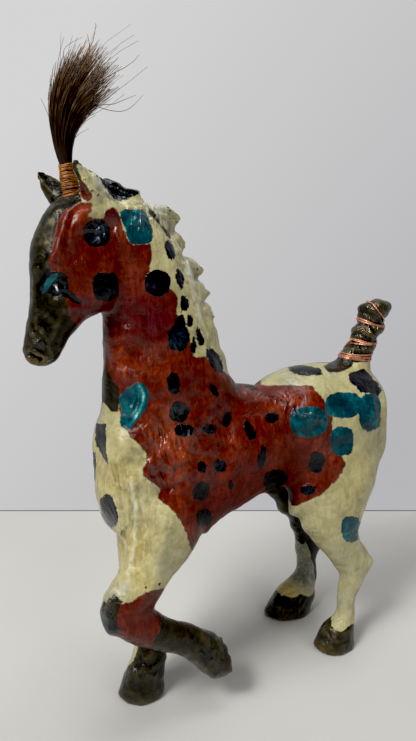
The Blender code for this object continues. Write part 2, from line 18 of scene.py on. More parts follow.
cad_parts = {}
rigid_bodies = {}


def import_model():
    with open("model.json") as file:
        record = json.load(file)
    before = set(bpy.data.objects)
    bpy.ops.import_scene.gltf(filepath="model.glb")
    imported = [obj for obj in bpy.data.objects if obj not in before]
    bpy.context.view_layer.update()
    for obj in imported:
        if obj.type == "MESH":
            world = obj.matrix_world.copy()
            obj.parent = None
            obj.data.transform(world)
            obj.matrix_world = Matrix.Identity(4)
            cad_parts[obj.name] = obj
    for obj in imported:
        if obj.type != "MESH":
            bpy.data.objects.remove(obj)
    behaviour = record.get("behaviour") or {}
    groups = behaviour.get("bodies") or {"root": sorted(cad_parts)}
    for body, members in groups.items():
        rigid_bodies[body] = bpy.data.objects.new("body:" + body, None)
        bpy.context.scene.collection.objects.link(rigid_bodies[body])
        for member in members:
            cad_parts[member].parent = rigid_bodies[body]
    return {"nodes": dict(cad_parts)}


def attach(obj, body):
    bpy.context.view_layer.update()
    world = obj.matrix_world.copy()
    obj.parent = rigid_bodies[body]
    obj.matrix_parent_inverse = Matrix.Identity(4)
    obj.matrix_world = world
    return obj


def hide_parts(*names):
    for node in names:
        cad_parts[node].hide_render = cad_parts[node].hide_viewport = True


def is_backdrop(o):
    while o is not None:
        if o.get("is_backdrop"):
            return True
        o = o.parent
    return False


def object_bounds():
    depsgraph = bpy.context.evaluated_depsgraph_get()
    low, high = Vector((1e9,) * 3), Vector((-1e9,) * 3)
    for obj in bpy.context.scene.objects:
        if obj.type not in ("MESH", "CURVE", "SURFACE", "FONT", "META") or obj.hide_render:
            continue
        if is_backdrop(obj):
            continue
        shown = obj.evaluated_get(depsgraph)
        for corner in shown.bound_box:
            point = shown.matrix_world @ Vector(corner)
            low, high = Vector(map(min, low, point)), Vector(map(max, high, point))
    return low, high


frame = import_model()
cad_low, cad_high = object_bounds()
scene = bpy.context.scene
print("the packed model is", [round((high - low) * 1000, 1) for low, high in zip(cad_low, cad_high)], "mm")

# %% [markdown]
# ## The unit of the modelling
#
# A modeller works in proportions. A share is a hundredth of the height from the floor to the tip of the
# near ear, and sizes that follow the horse's build are given in it, with x measured from the front legs.
# Paint, thread and grain have real sizes and are given in millimetres.

# %% Shares and millimetres
HORSE_HEIGHT = 0.285
SHARE = HORSE_HEIGHT / 100
FRONT_LEGS_X = -0.058656
MIDDLE_Y = -0.000621  # the plane between the horse's two sides
MM = 0.001


def place(x, y, z):
    """A place in shares, turned to metres in the model's frame."""
    return Vector((x * SHARE + FRONT_LEGS_X, y * SHARE + MIDDLE_Y, z * SHARE))


print("a share is", round(SHARE / MM, 2), "mm")

# %% [markdown]
# ## The camera
#
# The photograph was taken from the horse's front left, a little above it, from less than half a metre away.
# A camera that near makes the head and the front hooves look large, so the distance matters as much as the
# angle. The lens follows from the focal length, which is 640 picture points for a picture 741 points tall.

# %% Set up the camera
PICTURE_SIZE = (416, 741)
FOCAL_POINTS = 640.0
SENSOR = 36.0  # millimetres
EYE = place(-46.2, -100.9, 89.1)
TURN = math.radians(31.0)
TILT = math.radians(12.0)

picture_right = Vector((math.cos(TURN), -math.sin(TURN), 0))
level_ahead = Vector((math.sin(TURN), math.cos(TURN), 0))
ahead = level_ahead * math.cos(TILT) - Vector((0, 0, 1)) * math.sin(TILT)
picture_down = ahead.cross(picture_right)

camera_data = bpy.data.cameras.new("camera")
camera_data.sensor_width = SENSOR
camera_data.lens = SENSOR * FOCAL_POINTS / PICTURE_SIZE[1]
camera = bpy.data.objects.new("camera", camera_data)
camera_axes = Matrix((picture_right, -picture_down, -ahead)).transposed()
camera.matrix_world = Matrix.Translation(EYE) @ camera_axes.to_4x4()
scene.collection.objects.link(camera)
scene.camera = camera
print("lens", round(camera_data.lens, 2), "mm, eye", [round(part * 1000) for part in EYE], "mm")

# %% [markdown]
# ## A drawing board
#
# Somebody who paints a figure judges where a patch goes by looking at it from one side. The patches here
# are laid out the same way: as seen from the eye above, in picture points. `on_board` gives the board
# position of places on the horse, and how many millimetres one point covers there.

# %% Look at places from the eye


def on_board(places):
    """Board positions of many places, and the millimetres that one point covers at each."""
    away = places - np.array(EYE)
    depth = away @ np.array(ahead)
    across = away @ np.array(picture_right) / depth * FOCAL_POINTS + PICTURE_SIZE[0] / 2
    down = away @ np.array(picture_down) / depth * FOCAL_POINTS + PICTURE_SIZE[1] / 2
    return np.stack([across, down], axis=1), depth / FOCAL_POINTS / MM


def sight_line(spot):
    """The direction from the eye through a board position."""
    across = (spot[0] - PICTURE_SIZE[0] / 2) / FOCAL_POINTS
    down = (spot[1] - PICTURE_SIZE[1] / 2) / FOCAL_POINTS
    return (ahead + picture_right * across + picture_down * down).normalized()


feet_spots, feet_mm = on_board(np.array([place(0, 0, 0)]))
print("the front feet are at", feet_spots.round()[0], "with", feet_mm.round(2)[0], "mm a point")

# %% [markdown]
# ## The casting
#
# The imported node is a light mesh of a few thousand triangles. Modelling in wax or clay leaves a finer
# surface, so a merged copy of it is given a new even skin with a voxel remesh, and that is smoothed until
# the facets are gone. Thin forms, such as the ears, the locks and the tail, are smoothed less, because
# smoothing shrinks them.

# %% Give the horse a fine skin
SKIN_VOXEL = 1.5 * MM
SMOOTH_STEPS = 14
THIN_KEPT = 0.8  # how much less a thin form is smoothed
# Middle and reach, in shares, of each ear, lock and the tail
THIN_FORMS = [
    (place(-9, -3.9, 97), 6.0),
    (place(-12, 4.1, 96), 6.0),
    (place(-2, -0.5, 96), 4.5),
    (place(8, 0, 92), 4.5),
    (place(10, 0, 87), 4.0),
    (place(13, 0, 82), 4.0),
    (place(15, 0, 78), 4.0),
    (place(16, 0, 73), 3.0),
    (place(55, 0, 68), 9.0),
]


def applied(thing):
    """Turn an object's modifiers into its mesh."""
    bpy.context.view_layer.update()
    mesh = bpy.data.meshes.new_from_object(thing.evaluated_get(bpy.context.evaluated_depsgraph_get()))
    thing.modifiers.clear()
    thing.data = mesh
    return thing


def mesh_piece(name, bm):
    """A new object that takes over a bmesh."""
    mesh = bpy.data.meshes.new(name)
    bm.to_mesh(mesh)
    bm.free()
    thing = bpy.data.objects.new(name, mesh)
    scene.collection.objects.link(thing)
    return thing


def vertex_rows(mesh, attribute="co"):
    """The places or normals of a mesh's vertices as rows."""
    rows = np.empty(len(mesh.vertices) * 3)
    mesh.vertices.foreach_get(attribute, rows)
    return rows.reshape(-1, 3)


def thinness(places):
    """How far each place belongs to a thin form: 1 inside it, and 0 away from it."""
    share = np.zeros(len(places))
    for centre, reach in THIN_FORMS:
        away = np.linalg.norm(places - np.array(centre), axis=1) / (reach * SHARE)
        share = np.maximum(share, np.clip(2.0 - 1.6 * away, 0.0, 1.0))
    return share


bm = bmesh.new()
bm.from_mesh(frame["nodes"]["horse_body"].data)
bmesh.ops.remove_doubles(bm, verts=bm.verts, dist=0.01 * MM)
horse = mesh_piece("painted_horse", bm)
remesh = horse.modifiers.new("Skin", "REMESH")
remesh.mode = "VOXEL"
remesh.voxel_size = SKIN_VOXEL
applied(horse)

broad = horse.vertex_groups.new(name="broad")
for index, thin in enumerate(thinness(vertex_rows(horse.data))):
    broad.add([index], 1.0 - THIN_KEPT * float(thin), "REPLACE")
smooth = horse.modifiers.new("Even", "SMOOTH")
smooth.factor = 0.5
smooth.iterations = SMOOTH_STEPS
smooth.vertex_group = "broad"
applied(horse)
print("skin:", len(horse.data.vertices), "vertices")

# %% [markdown]
# ## Finer faces where the modelling is fine
#
# The eye, the nostril, the locks, the wrapped tail and the folds of the shoulder are smaller than the rest
# of the modelling. Splitting the faces only there keeps the mesh light elsewhere.

# %% Split the faces of the head, the mane, the tail and the shoulder
# In shares: the limits of the head, the mane and the tail in x and z, and the line of the crest
HEAD_LIMITS = (-7.0, 64.0)
EARS_HEIGHT = 90.0
CREST_SLOPE, CREST_TOP, CREST_SHIFT = 0.30, 92.0, 2.6
MANE_LIMITS = (26.0, 62.0)
TAIL_LIMITS = (47.0, 61.0)
SHOULDER = (place(3, -9, 54), 13.4)  # middle, and reach in shares
SHOULDER_SIDE = SHOULDER[0].y + 4 * SHARE  # the near side ends here


def fine_zone(spot):
    """Whether a place is finely modelled."""
    x = (spot.x - FRONT_LEGS_X) / SHARE
    z = spot.z / SHARE
    head = (x < HEAD_LIMITS[0] and z > HEAD_LIMITS[1]) or z > EARS_HEIGHT
    mane = CREST_SLOPE * (CREST_TOP - z) + CREST_SHIFT < x < MANE_LIMITS[0] and z > MANE_LIMITS[1]
    tail = x > TAIL_LIMITS[0] and z > TAIL_LIMITS[1]
    shoulder = (spot - SHOULDER[0]).length < SHOULDER[1] * SHARE and spot.y < SHOULDER_SIDE
    return head or mane or tail or shoulder


bm = bmesh.new()
bm.from_mesh(horse.data)
edges = [edge for edge in bm.edges if fine_zone((edge.verts[0].co + edge.verts[1].co) / 2)]
bmesh.ops.subdivide_edges(bm, edges=edges, cuts=1, use_grid_fill=True, smooth=0.0)
bmesh.ops.triangulate(bm, faces=[face for face in bm.faces if len(face.verts) > 4])
bm.to_mesh(horse.data)
bm.free()
print("fine skin:", len(horse.data.vertices), "vertices")

# %% [markdown]
# ## Which part a place belongs to
#
# Seen from the eye the legs lie one behind another, so each place below the chest is given to the leg whose
# middle line is nearest, and both the modelling and the painting can keep to one part of the horse.

# %% Tell the legs from the body
LEGS_START = 36.0  # shares
LEG_LINES = {
    "near fore": [
        (0.4, -6.4, 35.1), (-4.4, -6.8, 28.1), (-7.0, -6.8, 24.5), (-3.4, -7, 20.3), (4, -7.7, 16),
        (13, -8.5, 8.8),
    ],
    "far fore": [
        (2.8, 5.2, 39.1), (0.8, 4.2, 29.1), (0.4, 3, 21.7), (1.3, 1.8, 13.7), (1.2, 1, 7.2), (-0.1, 1, 0),
    ],
    "near hind": [
        (41.6, -6.5, 31.1), (45.2, -7.1, 22.3), (47.4, -7.2, 18.5), (45.9, -7.3, 11.9), (42.8, -7.3, 0),
    ],
    "far hind": [(42.6, 6.8, 31.1), (46.6, 7.9, 22.3), (48, 8.4, 18.5), (47.2, 8.4, 11.5), (42.4, 8.4, 0)],
}
TAIL_LINE = [place(51.6, 0, 62.6), place(54.5, 0, 68), place(58.5, 0, 76)]
TAIL_REACH = 6.3  # shares


def line_distance(points, line):
    """How far each point lies from a broken line, or from a single point."""
    corners = [np.array(corner, dtype=float) for corner in (line if isinstance(line, list) else [line])]
    nearest = np.linalg.norm(points - corners[0], axis=1)
    for start, end in zip(corners, corners[1:]):
        run = end - start
        along = np.clip((points - start) @ run / (run @ run), 0.0, 1.0)
        nearest = np.minimum(nearest, np.linalg.norm(points - (start + along[:, None] * run), axis=1))
    return nearest


def fading(points, line, reach):
    """A soft weight: 1 on a line or at a point, and fading out over the reach."""
    return np.exp(-(line_distance(points, line) / reach) ** 2)


places = vertex_rows(horse.data)
low = places[:, 2] < LEGS_START * SHARE
leg_lines = [[place(*spot) for spot in line] for line in LEG_LINES.values()]
nearest_leg = np.argmin([line_distance(places, line) for line in leg_lines], axis=0)
part = {name: low & (nearest_leg == index) for index, name in enumerate(LEG_LINES)}
part["tail"] = line_distance(places, TAIL_LINE) < TAIL_REACH * SHARE
part["body"] = ~low
for name, members in part.items():
    print(name, int(members.sum()), "vertices")

# %% [markdown]
# ## Modelling strokes
#
# The face, the mane, the folds of the skin, the tail and the hooves are modelled with strokes: a line on
# the drawing board, how far the tool reaches and how high or deep it goes. The far side is read as its
# mirror image, so both sides get an eye and a nostril. A stroke is weaker where the surface turns away from
# the eye, where it would smear.

# %% List the strokes of the face and the mane
# Each stroke: points on the board, reach in points, height in millimetres (below zero for a groove)
FACE_STROKES = [
    ([(79, 205), (70, 211), (64.5, 222), (61, 238), (56, 254), (50, 264)], 3.4, 1.25),
    ([(73, 216), (69, 232), (65, 250), (61, 262)], 2.2, -0.55),
    ([(58, 215), (55.5, 232), (52, 250)], 2.4, -0.45),
    ([(80, 222), (81, 228)], 4.0, 0.7),
    ([(43, 288), (46, 280), (53, 273), (60, 272)], 2.6, 0.75),
    ([(56, 288.5)], 5.0, 1.0),
    ([(49, 291), (52.5, 285), (58, 282), (64, 286)], 1.6, -0.8),
    ([(50, 293), (56, 295.5), (63, 292)], 1.6, -0.7),
    ([(66, 294), (73, 300), (84, 305), (97, 306)], 2.8, -0.75),
    ([(72, 308), (88, 311), (100, 304)], 3.6, 0.5),
    ([(38, 270), (34, 290), (34, 310), (36, 328)], 3.0, 0.45),
    ([(30, 322), (33, 336)], 2.4, 0.4),
    ([(41, 330), (45, 338)], 3.0, 0.35),
    ([(29.5, 355), (34.5, 358.5), (40, 360)], 2.9, -2.2),
    ([(30, 352), (36, 351.5), (42, 355)], 1.8, 0.45),
    ([(33, 364.5), (40, 365), (46, 360)], 2.0, 0.5),
    ([(60, 353), (56, 357), (51, 364)], 1.6, -0.8),
    ([(62, 350), (63, 358)], 2.2, 0.4),
    ([(66, 318), (60, 330), (55, 342)], 3.0, -0.35),
]
MANE_STROKES = [
    ([(100, 181), (116, 186), (134, 193)], 1.7, -0.5),
    ([(104, 187), (118, 194), (128, 197)], 1.6, -0.45),
    ([(99, 190), (112, 199), (126, 204), (143, 203)], 2.0, -0.7),
    ([(146, 206), (158, 210), (170, 214), (176, 219)], 1.6, -0.6),
    ([(150, 214), (162, 219), (172, 224)], 1.7, -0.6),
    ([(152, 211), (163, 226), (173, 241)], 2.2, -0.45),
    ([(171, 226), (180, 236), (185, 247)], 1.6, -0.55),
    ([(172, 238), (180, 247), (184, 254)], 1.6, -0.5),
    ([(181, 254), (190, 266), (198, 275)], 1.6, -0.6),
    ([(177, 262), (186, 274), (193, 280)], 1.7, -0.55),
    ([(188, 283), (197, 291), (206, 299)], 1.5, -0.5),
    ([(186, 293), (196, 302), (204, 306)], 1.6, -0.5),
    ([(196, 304), (204, 316), (209, 330)], 1.6, -0.45),
    ([(199, 322), (206, 336), (212, 350)], 1.7, -0.45),
    ([(208, 346), (217, 360), (226, 374)], 1.8, -0.4),
    ([(165, 207), (174, 212)], 2.2, 0.5),
    ([(184, 238), (188, 247)], 2.0, 0.5),
    ([(193, 266), (200, 274)], 2.0, 0.5),
    ([(203, 291), (208, 297)], 1.6, 0.4),
]
print("strokes on the face:", len(FACE_STROKES), "and the mane:", len(MANE_STROKES))

# %% [markdown]
# The folds of the skin on the chest, the shoulder and the flank are broader. Some are ridges with a groove
# beside them, which catches the light as wet clay does.

# %% List the strokes of the body
BODY_STROKES = [
    ([(104, 345), (112, 380), (110, 412)], 3.0, -0.6),
    ([(142, 386), (145, 394), (144, 403), (141, 411), (135, 420)], 1.7, 0.7),
    ([(137, 389), (139, 400), (135, 411)], 2.4, -0.6),
    ([(148, 426), (155, 440), (164, 450)], 2.0, 0.8),
    ([(158, 418), (163, 430), (170, 442), (174, 462)], 1.9, 0.9),
    ([(153, 432), (160, 444), (168, 455)], 1.6, -0.7),
    ([(166, 424), (171, 436), (176, 450)], 1.7, -0.7),
    ([(189, 432), (187, 446), (184, 458)], 1.8, 0.6),
    ([(150, 462), (158, 470), (160, 480)], 2.4, 0.8),
    ([(170, 466), (177, 476), (180, 486)], 2.2, 0.7),
    ([(163, 464), (168, 476), (170, 490)], 1.8, -0.7),
    ([(141, 440), (149, 447), (146, 456)], 1.8, 0.6),
    ([(247, 392), (262, 397), (280, 405), (300, 415), (330, 419.5)], 2.8, 1.1),
    ([(250, 386), (270, 393), (296, 402)], 3.2, -0.5),
    ([(127, 330), (150, 342), (166, 338)], 5.0, 0.3),
    ([(140, 352), (158, 362), (176, 358)], 5.0, -0.3),
    ([(122, 372), (140, 380), (152, 394)], 4.5, 0.8),
    ([(158, 396), (166, 420), (160, 446)], 4.0, -0.6),
    ([(128, 402), (140, 424), (152, 440)], 4.0, 0.6),
    ([(182, 392), (194, 416), (192, 446)], 5.0, 0.5),
    ([(168, 455), (176, 478), (178, 500)], 4.0, -0.6),
    ([(196, 455), (199, 480), (192, 506)], 4.0, -0.4),
    ([(236, 398), (262, 404), (296, 402)], 4.0, 0.5),
    ([(244, 430), (241, 462), (236, 490)], 4.5, -0.5),
    ([(262, 430), (258, 460), (254, 486)], 4.5, 0.4),
    ([(300, 500), (314, 488), (326, 470)], 4.0, -0.5),
    ([(113, 466), (119, 496), (124, 530), (122, 562)], 3.0, -1.5),
    ([(132, 480), (137, 512), (135, 545), (129, 575)], 3.8, 1.2),
    ([(147, 492), (150, 528), (146, 560)], 3.0, -0.45),
    ([(160, 508), (165, 540), (158, 566)], 4.0, 0.5),
]
print("strokes on the body:", len(BODY_STROKES))

# %% [markdown]
# The tail has grooves where its bundle is tied. On the legs the strokes are tendons, the joints and the
# ragged upper edges of the hooves.

# %% List the strokes of the tail and the legs
TAIL_STROKES = [
    ([(354, 318), (363, 318), (373, 323), (386, 326)], 2.0, -0.9),
    ([(361, 320), (371, 327), (377, 338)], 1.6, -0.7),
    ([(348, 335), (358, 333), (368, 338), (377, 342)], 2.0, -0.9),
    ([(346, 346), (356, 341), (374, 342)], 1.6, -0.5),
    ([(371, 301), (378, 310), (386, 321)], 1.6, -0.8),
    ([(356, 311), (366, 306), (374, 310)], 2.6, 0.6),
    ([(350, 326), (362, 328)], 2.4, 0.6),
    ([(348, 349), (360, 351), (372, 349)], 2.4, 0.6),
]
LEG_STROKES = [
    ([(199, 624), (212, 629), (222, 634)], 4.0, 0.9),
    ([(196, 638), (206, 648), (212, 664)], 3.5, -0.6),
    ([(176, 622), (190, 632)], 4.0, -0.5),
    ([(186, 648), (200, 664), (214, 676)], 3.5, 0.6),
    ([(224, 640), (230, 656)], 3.0, -0.5),
    ([(150, 600), (146, 616), (150, 632)], 3.5, -0.5),
    ([(122, 668), (136, 672), (152, 668), (164, 660)], 2.6, 0.7),
    ([(128, 680), (140, 690)], 5.0, -0.5),
    ([(140, 650), (134, 664), (128, 682)], 1.8, 0.5),
    ([(158, 650), (160, 668), (158, 686)], 1.8, -0.6),
    ([(196, 646), (194, 652), (200, 661), (204, 664)], 1.7, 0.7),
    ([(202, 650), (207, 657), (206, 664)], 1.7, -0.6),
    ([(274, 604), (286, 610), (300, 606)], 2.0, 0.5),
    ([(326, 640), (336, 646), (348, 640)], 1.8, -0.5),
    ([(324, 622), (338, 634), (350, 630)], 2.4, 0.5),
    ([(322, 640), (332, 650)], 4.0, -0.4),
    ([(344, 560), (342, 590), (338, 612)], 3.0, -0.4),
]
print("strokes on the tail:", len(TAIL_STROKES), "and the legs:", len(LEG_STROKES))

# %% [markdown]
# The strokes are pressed in one after another, straight into the skin. Those of the legs stay on the side
# on which they were drawn, because each leg stands in a pose of its own.

# %% Press the modelling strokes into the skin
STROKES_START = 34.0  # the strokes of the legs are pressed in below this height, in shares
STROKES_BLEND = 4.0  # shares over which they give way to the mirrored ones
FACING_GAIN = 1.7  # a surface turned less than 54 degrees from the eye takes a stroke in full


def near_side(places):
    """Places read on the near side, so that both sides are the same."""
    mirrored = places.copy()
    mirrored[:, 1] = MIDDLE_Y - np.abs(places[:, 1] - MIDDLE_Y)
    return mirrored


def facing(normals):
    """How far the surface faces the eye: 1 over most of it, falling to 0 where it is seen edge on."""
    return np.clip(-FACING_GAIN * (normals @ np.array(ahead)), 0.0, 1.0)


places = vertex_rows(horse.data)
normals = vertex_rows(horse.data, "normal")
board, _ = on_board(near_side(places))
own_view, _ = on_board(places)
near_normals = normals * np.where(places[:, 1:2] > MIDDLE_Y, [[1, -1, 1]], [[1, 1, 1]])
above_legs = np.clip((places[:, 2] / SHARE - STROKES_START) / STROKES_BLEND, 0.0, 1.0)
height = np.zeros(len(places))
for strokes, view, weight in (
    (FACE_STROKES + MANE_STROKES + BODY_STROKES + TAIL_STROKES, board, facing(near_normals) * above_legs),
    (LEG_STROKES, own_view, facing(normals) * (1 - above_legs)),
):
    for line, reach, amount in strokes:
        height += amount * fading(view, line, reach) * weight
places += normals * height[:, None] * MM
print("strokes from", round(height.min(), 1), "to", round(height.max(), 1), "mm")

# %% [markdown]
# ## Pulling the outline into place
#
# Held against the real horse, a model shows where it is a little too thick or too thin. Each pull moves the
# skin round one board position, as a thumb would, and only on the part of the horse that it names.

# %% Pull the skin
# For each part: board position and reach, then how far right and down, in points
PULLS = {
    "near ear": [(76, 168, 9, -2.2, 0)],
    "far hind": [
        (318, 545, 9, 1.5, 0), (266, 612, 8, -4.0, 0), (312, 598, 7, 2.0, 0.5), (298, 545, 10, -3.0, 0),
        (284, 516, 10, 6.0, -1.5), (272, 503, 7, 4.0, -2.0),
    ],
    "near fore": [
        (231, 648, 8, -4.0, 3.0), (234, 674, 7, 3.0, 3.0), (214, 678, 7, 0, 1.5), (214, 632, 4, 1.5, -1.5),
        (218, 633, 5, -0.5, 3.0), (234, 670, 9, 2.0, 0), (227, 640, 5, -4.0, 1.5), (119, 642, 10, 1.5, -6.5),
        (132, 646, 7, 0, -3.5), (143, 651, 9, 0, -2.5), (101, 614, 7, -2.5, 0), (205, 531, 6, 2.0, 3.0),
    ],
    "near hind": [
        (316, 643, 6, -3.0, 0.5), (370, 561, 5, 3.0, -0.5), (296, 509, 8, -5.0, 4.0),
        (309, 524, 7, -3.0, 2.0),
    ],
    "body": [
        (296, 509, 8, -5.0, 4.0), (205, 531, 6, 2.0, 3.0), (127, 183, 7, -1.0, 3.0), (106, 181, 6, 0, -3.0),
        (173, 231, 5.0, -4.0, 1.0), (187, 255, 5.0, -4.5, 0.5), (200, 278, 5.0, -5.0, 0.5),
        (207, 302, 4.5, -4.0, 0.5), (188, 243, 3.5, 2.0, -1.0), (202, 269, 3.5, 1.5, -1.0),
        (209, 294, 3.5, 1.5, -1.0),
    ],
    "tail": [(366, 296, 7, 1.5, 4.0), (357, 312, 5, -3.5, 0), (382, 295, 8, -1.0, 2.5)],
    "far fore": [(166, 656, 6, 3.0, 0), (119, 694, 6, -2.5, 0)],
}
for where, pulls in PULLS.items():
    members = part["body"] & (places[:, 1] < MIDDLE_Y) if where == "near ear" else part[where]
    for x, y, reach, right, down in pulls:
        own, mm = on_board(places)
        weight = fading(own, (x, y), reach) * members * mm * MM
        places += weight[:, None] * (right * np.array(picture_right) + down * np.array(picture_down))
    print(where, len(pulls), "pulls")

# %% [markdown]
# ## The wrapped tail
#
# The tail is a bundle that the wire pinches, with lumps between its turns. The pinches and lumps are rings
# at certain heights, and a soft noise makes them uneven.

# %% Pinch and swell the tail
# Height in shares, and how far the ring stands out or in, in millimetres
TAIL_RINGS = [(62.9, -0.6), (66.6, -0.9), (70.7, -0.9), (64.8, 0.5), (68.7, 0.8), (73.4, 0.9)]
RING_REACH = 1.1  # shares
TAIL_LUMP = (7.0, 1.1)  # size and height in millimetres
WRAPPING_START = (61.5, 1.5)  # where it begins and over what height, in shares
shares_up = places[:, 2] / SHARE
bulge = sum(amount * np.exp(-((shares_up - level) / RING_REACH) ** 2) for level, amount in TAIL_RINGS)
for index in np.flatnonzero(part["tail"]):
    bulge[index] += TAIL_LUMP[1] * noise.noise(Vector(places[index]) / (TAIL_LUMP[0] * MM))
wrapped = part["tail"] * np.clip((shares_up - WRAPPING_START[0]) / WRAPPING_START[1], 0.0, 1.0)
places += normals * (bulge * wrapped)[:, None] * MM
print("tail:", int(wrapped.sum()), "vertices,", round(bulge.min(), 1), "to", round(bulge.max(), 1), "mm")

# %% [markdown]
# ## Handwork
#
# Wax that was pressed on in small lumps is never smooth. Three sizes of soft noise stand for the palm, the
# thumb and the tool. The metal is lumpiest on the shoulder and the base of the neck, and smoother on the
# rump and the cheek.

# %% Add the unevenness of handwork
LUMPS = [(13.0, 0.55), (5.0, 0.30), (2.6, 0.12)]  # size and height in millimetres
# Board position, reach in points and how much lumpier or smoother the metal is there
ROUGHER = [
    ((98, 270), 34, -0.6), ((350, 440), 55, -0.6), ((165, 460), 34, 1.3), ((132, 350), 20, 0.5),
    ((150, 385), 16, 0.5), ((195, 420), 24, 0.6), ((84, 218), 12, 0.4), ((130, 228), 10, 0.5),
    ((290, 400), 26, 0.3),
]

lumpier = 1.0 + sum(amount * fading(board, centre, reach) for centre, reach, amount in ROUGHER)
lumps = np.zeros(len(places))
for size, amount in LUMPS:
    lumps += amount * np.array([noise.noise(Vector(spot) / (size * MM)) for spot in places])
places += normals * (lumps * lumpier)[:, None] * MM
places[:, 2] = np.maximum(places[:, 2], 0.0)
horse.data.vertices.foreach_set("co", places.ravel())
horse.data.update()
horse.data.shade_smooth()
print("lumps up to", round(float(np.abs(lumps).max()), 2), "mm")

# %% [markdown]
# ## Laying out the paint
#
# The painter left a cream coat with a large red area over the head, neck, shoulder and barrel, bare bronze
# on the face, the hooves and the tail, and spots of navy and teal, as on a pied and spotted horse. Each
# area and spot is an outline on the board. Every vertex is given its distance from the outlines of each
# colour, in millimetres, so the material can draw a sharp, slightly unsteady edge that is finer than the
# mesh. The large areas are read as mirror images on the far side, where the edges wander, so that they meet
# along the back and the throat.

# %% Outline the areas of paint
RED_COAT = [
    (70, 202), (78, 203), (85, 203), (91.8, 203.5), (91.5, 210), (87.5, 217.5), (97, 219), (103.7, 219),
    (105, 213), (109, 208.5), (113, 207.5), (117, 210), (121, 222), (126, 237), (131, 244.5),
    (150.5, 244.5), (151, 256), (149, 271), (160, 283), (172, 290), (177.4, 297), (176.3, 313), (184, 325),
    (190, 340), (193, 357), (206, 357.5), (214, 364), (224, 372), (235, 379), (238, 370), (262, 372),
    (263, 385.5), (311, 385.6), (324, 400), (332.6, 416), (331, 435.5), (346, 464), (338, 479), (319, 496),
    (300, 504), (290, 510), (284, 514), (262, 520), (240, 530), (215, 550), (200, 562), (190.6, 547),
    (187, 534), (180, 519), (170, 507), (163, 502.5), (158, 498), (161, 488.5), (152, 482), (143.5, 476),
    (142.5, 470), (147.5, 463), (146.8, 453), (139, 444), (131, 437), (127.5, 431), (121, 424), (119, 399),
    (110, 390), (96, 380), (90, 356), (88, 338), (62, 338), (58, 312), (54, 290), (40, 268), (42, 240),
    (47, 215), (60, 200),
]
BARE_FACE = [
    (80, 196), (83, 200), (77, 204), (66, 209), (57.8, 217), (54.6, 235), (51.5, 251), (48.3, 262), (52, 275),
    (66, 297), (67.4, 307.6), (68, 316.5), (76.5, 325.5), (80, 332), (70, 374), (8, 374), (8, 200), (40, 188),
    (60, 182), (72, 180),
]
BARE_THROAT = [
    (93, 312), (98.5, 330), (101, 345), (104, 356), (108, 371), (112, 380), (119, 388), (119, 399),
    (118, 411), (112, 411), (101, 400), (85, 396), (84, 330),
]
BARE_GROIN = [
    (281, 488), (290, 489), (291, 500), (297, 508), (291, 514), (290, 540), (262, 528), (268, 500),
    (278, 498),
]
CROUP_PATCH = [
    (324, 366), (331, 362.5), (338, 359), (352, 360), (353.5, 364), (349, 368.5), (340, 371.5), (327, 372),
]
EAR_EDGE = [
    (70, 159), (79, 158.5), (84.5, 164), (79, 164.6), (75, 164), (77, 169), (79.5, 175), (80.5, 181),
    (78, 180), (74.5, 172), (70, 165),
]
DARK_LOCK = [
    (98, 175), (103.6, 176.5), (111, 175.5), (118, 179), (123.6, 182), (131, 187.5), (140, 192), (138, 195),
    (134.5, 196.4), (129, 197.3), (126.5, 200.5), (120, 201.2), (112.7, 197.5), (107, 189.5), (101.8, 182),
]
KNEE_CAP = [
    (99, 609), (103, 605), (104.5, 601), (107, 603), (109, 597), (111, 600), (113, 594), (115, 598),
    (118, 596), (119, 600), (125, 601), (121, 604), (118, 611), (116.5, 622), (117, 630.7), (114, 638),
    (96, 630), (93, 612),
]
KNEE_BLACK = [
    (93, 604), (102, 606), (105, 610), (110, 611), (112, 617), (117, 621.5), (117.5, 629.5), (112, 634.5),
    (92, 636),
]
KNEE_SPECKS = [
    [(144.5, 585.5), (147.5, 586), (147, 590.5), (145, 591)],
    [(158, 583), (161, 583), (161, 586.5), (158.5, 586)],
    [(146, 593), (149, 593.5), (149, 598), (146.5, 597)],
]
RED_KNEE = [
    (108, 608), (114, 603), (123.3, 603.7), (131.3, 602.6), (139.4, 596.2), (149.7, 591.1), (163.5, 588.8),
    (186, 583), (186, 620), (172, 642), (150, 662), (126, 662), (106, 648), (100, 625),
]
BARE_CANNON = [
    (160, 618), (174, 606), (245, 630), (250, 695), (200, 702), (145, 658), (154.3, 640), (161.2, 632),
]
FAR_FORE_BARE = [
    (141, 616), (150, 607), (160, 604), (176, 606), (182, 720), (105, 720), (122, 676), (128, 667),
    (134, 660), (137, 652), (139, 645), (139.5, 632),
]
NEAR_HOOF = [
    (322, 612), (331.5, 617), (331, 626.7), (337.3, 630.7), (341.9, 632.4), (347.6, 627.2), (352.2, 623.8),
    (364, 622), (366, 668), (304, 668), (304, 640),
]
FAR_STOCKING = [
    (284, 520), (289, 524), (293, 531), (296, 538), (299, 543), (304, 544), (306, 539), (309, 547),
    (311, 556), (314, 566), (315.5, 578), (316.5, 588), (313, 594), (309, 597), (304, 595.5),
    (299.5, 593.5), (297, 597), (291, 598), (285.5, 596), (281, 595.7), (277, 591.1), (264, 585),
    (280, 560), (282, 540),
]
FAR_HIND_NAVY = [
    (289, 512), (300, 522), (318, 540), (324, 560), (324, 600), (314.5, 602), (316.5, 588), (315.5, 578),
    (314, 566), (311, 556), (309, 547), (306, 541), (300, 530),
]


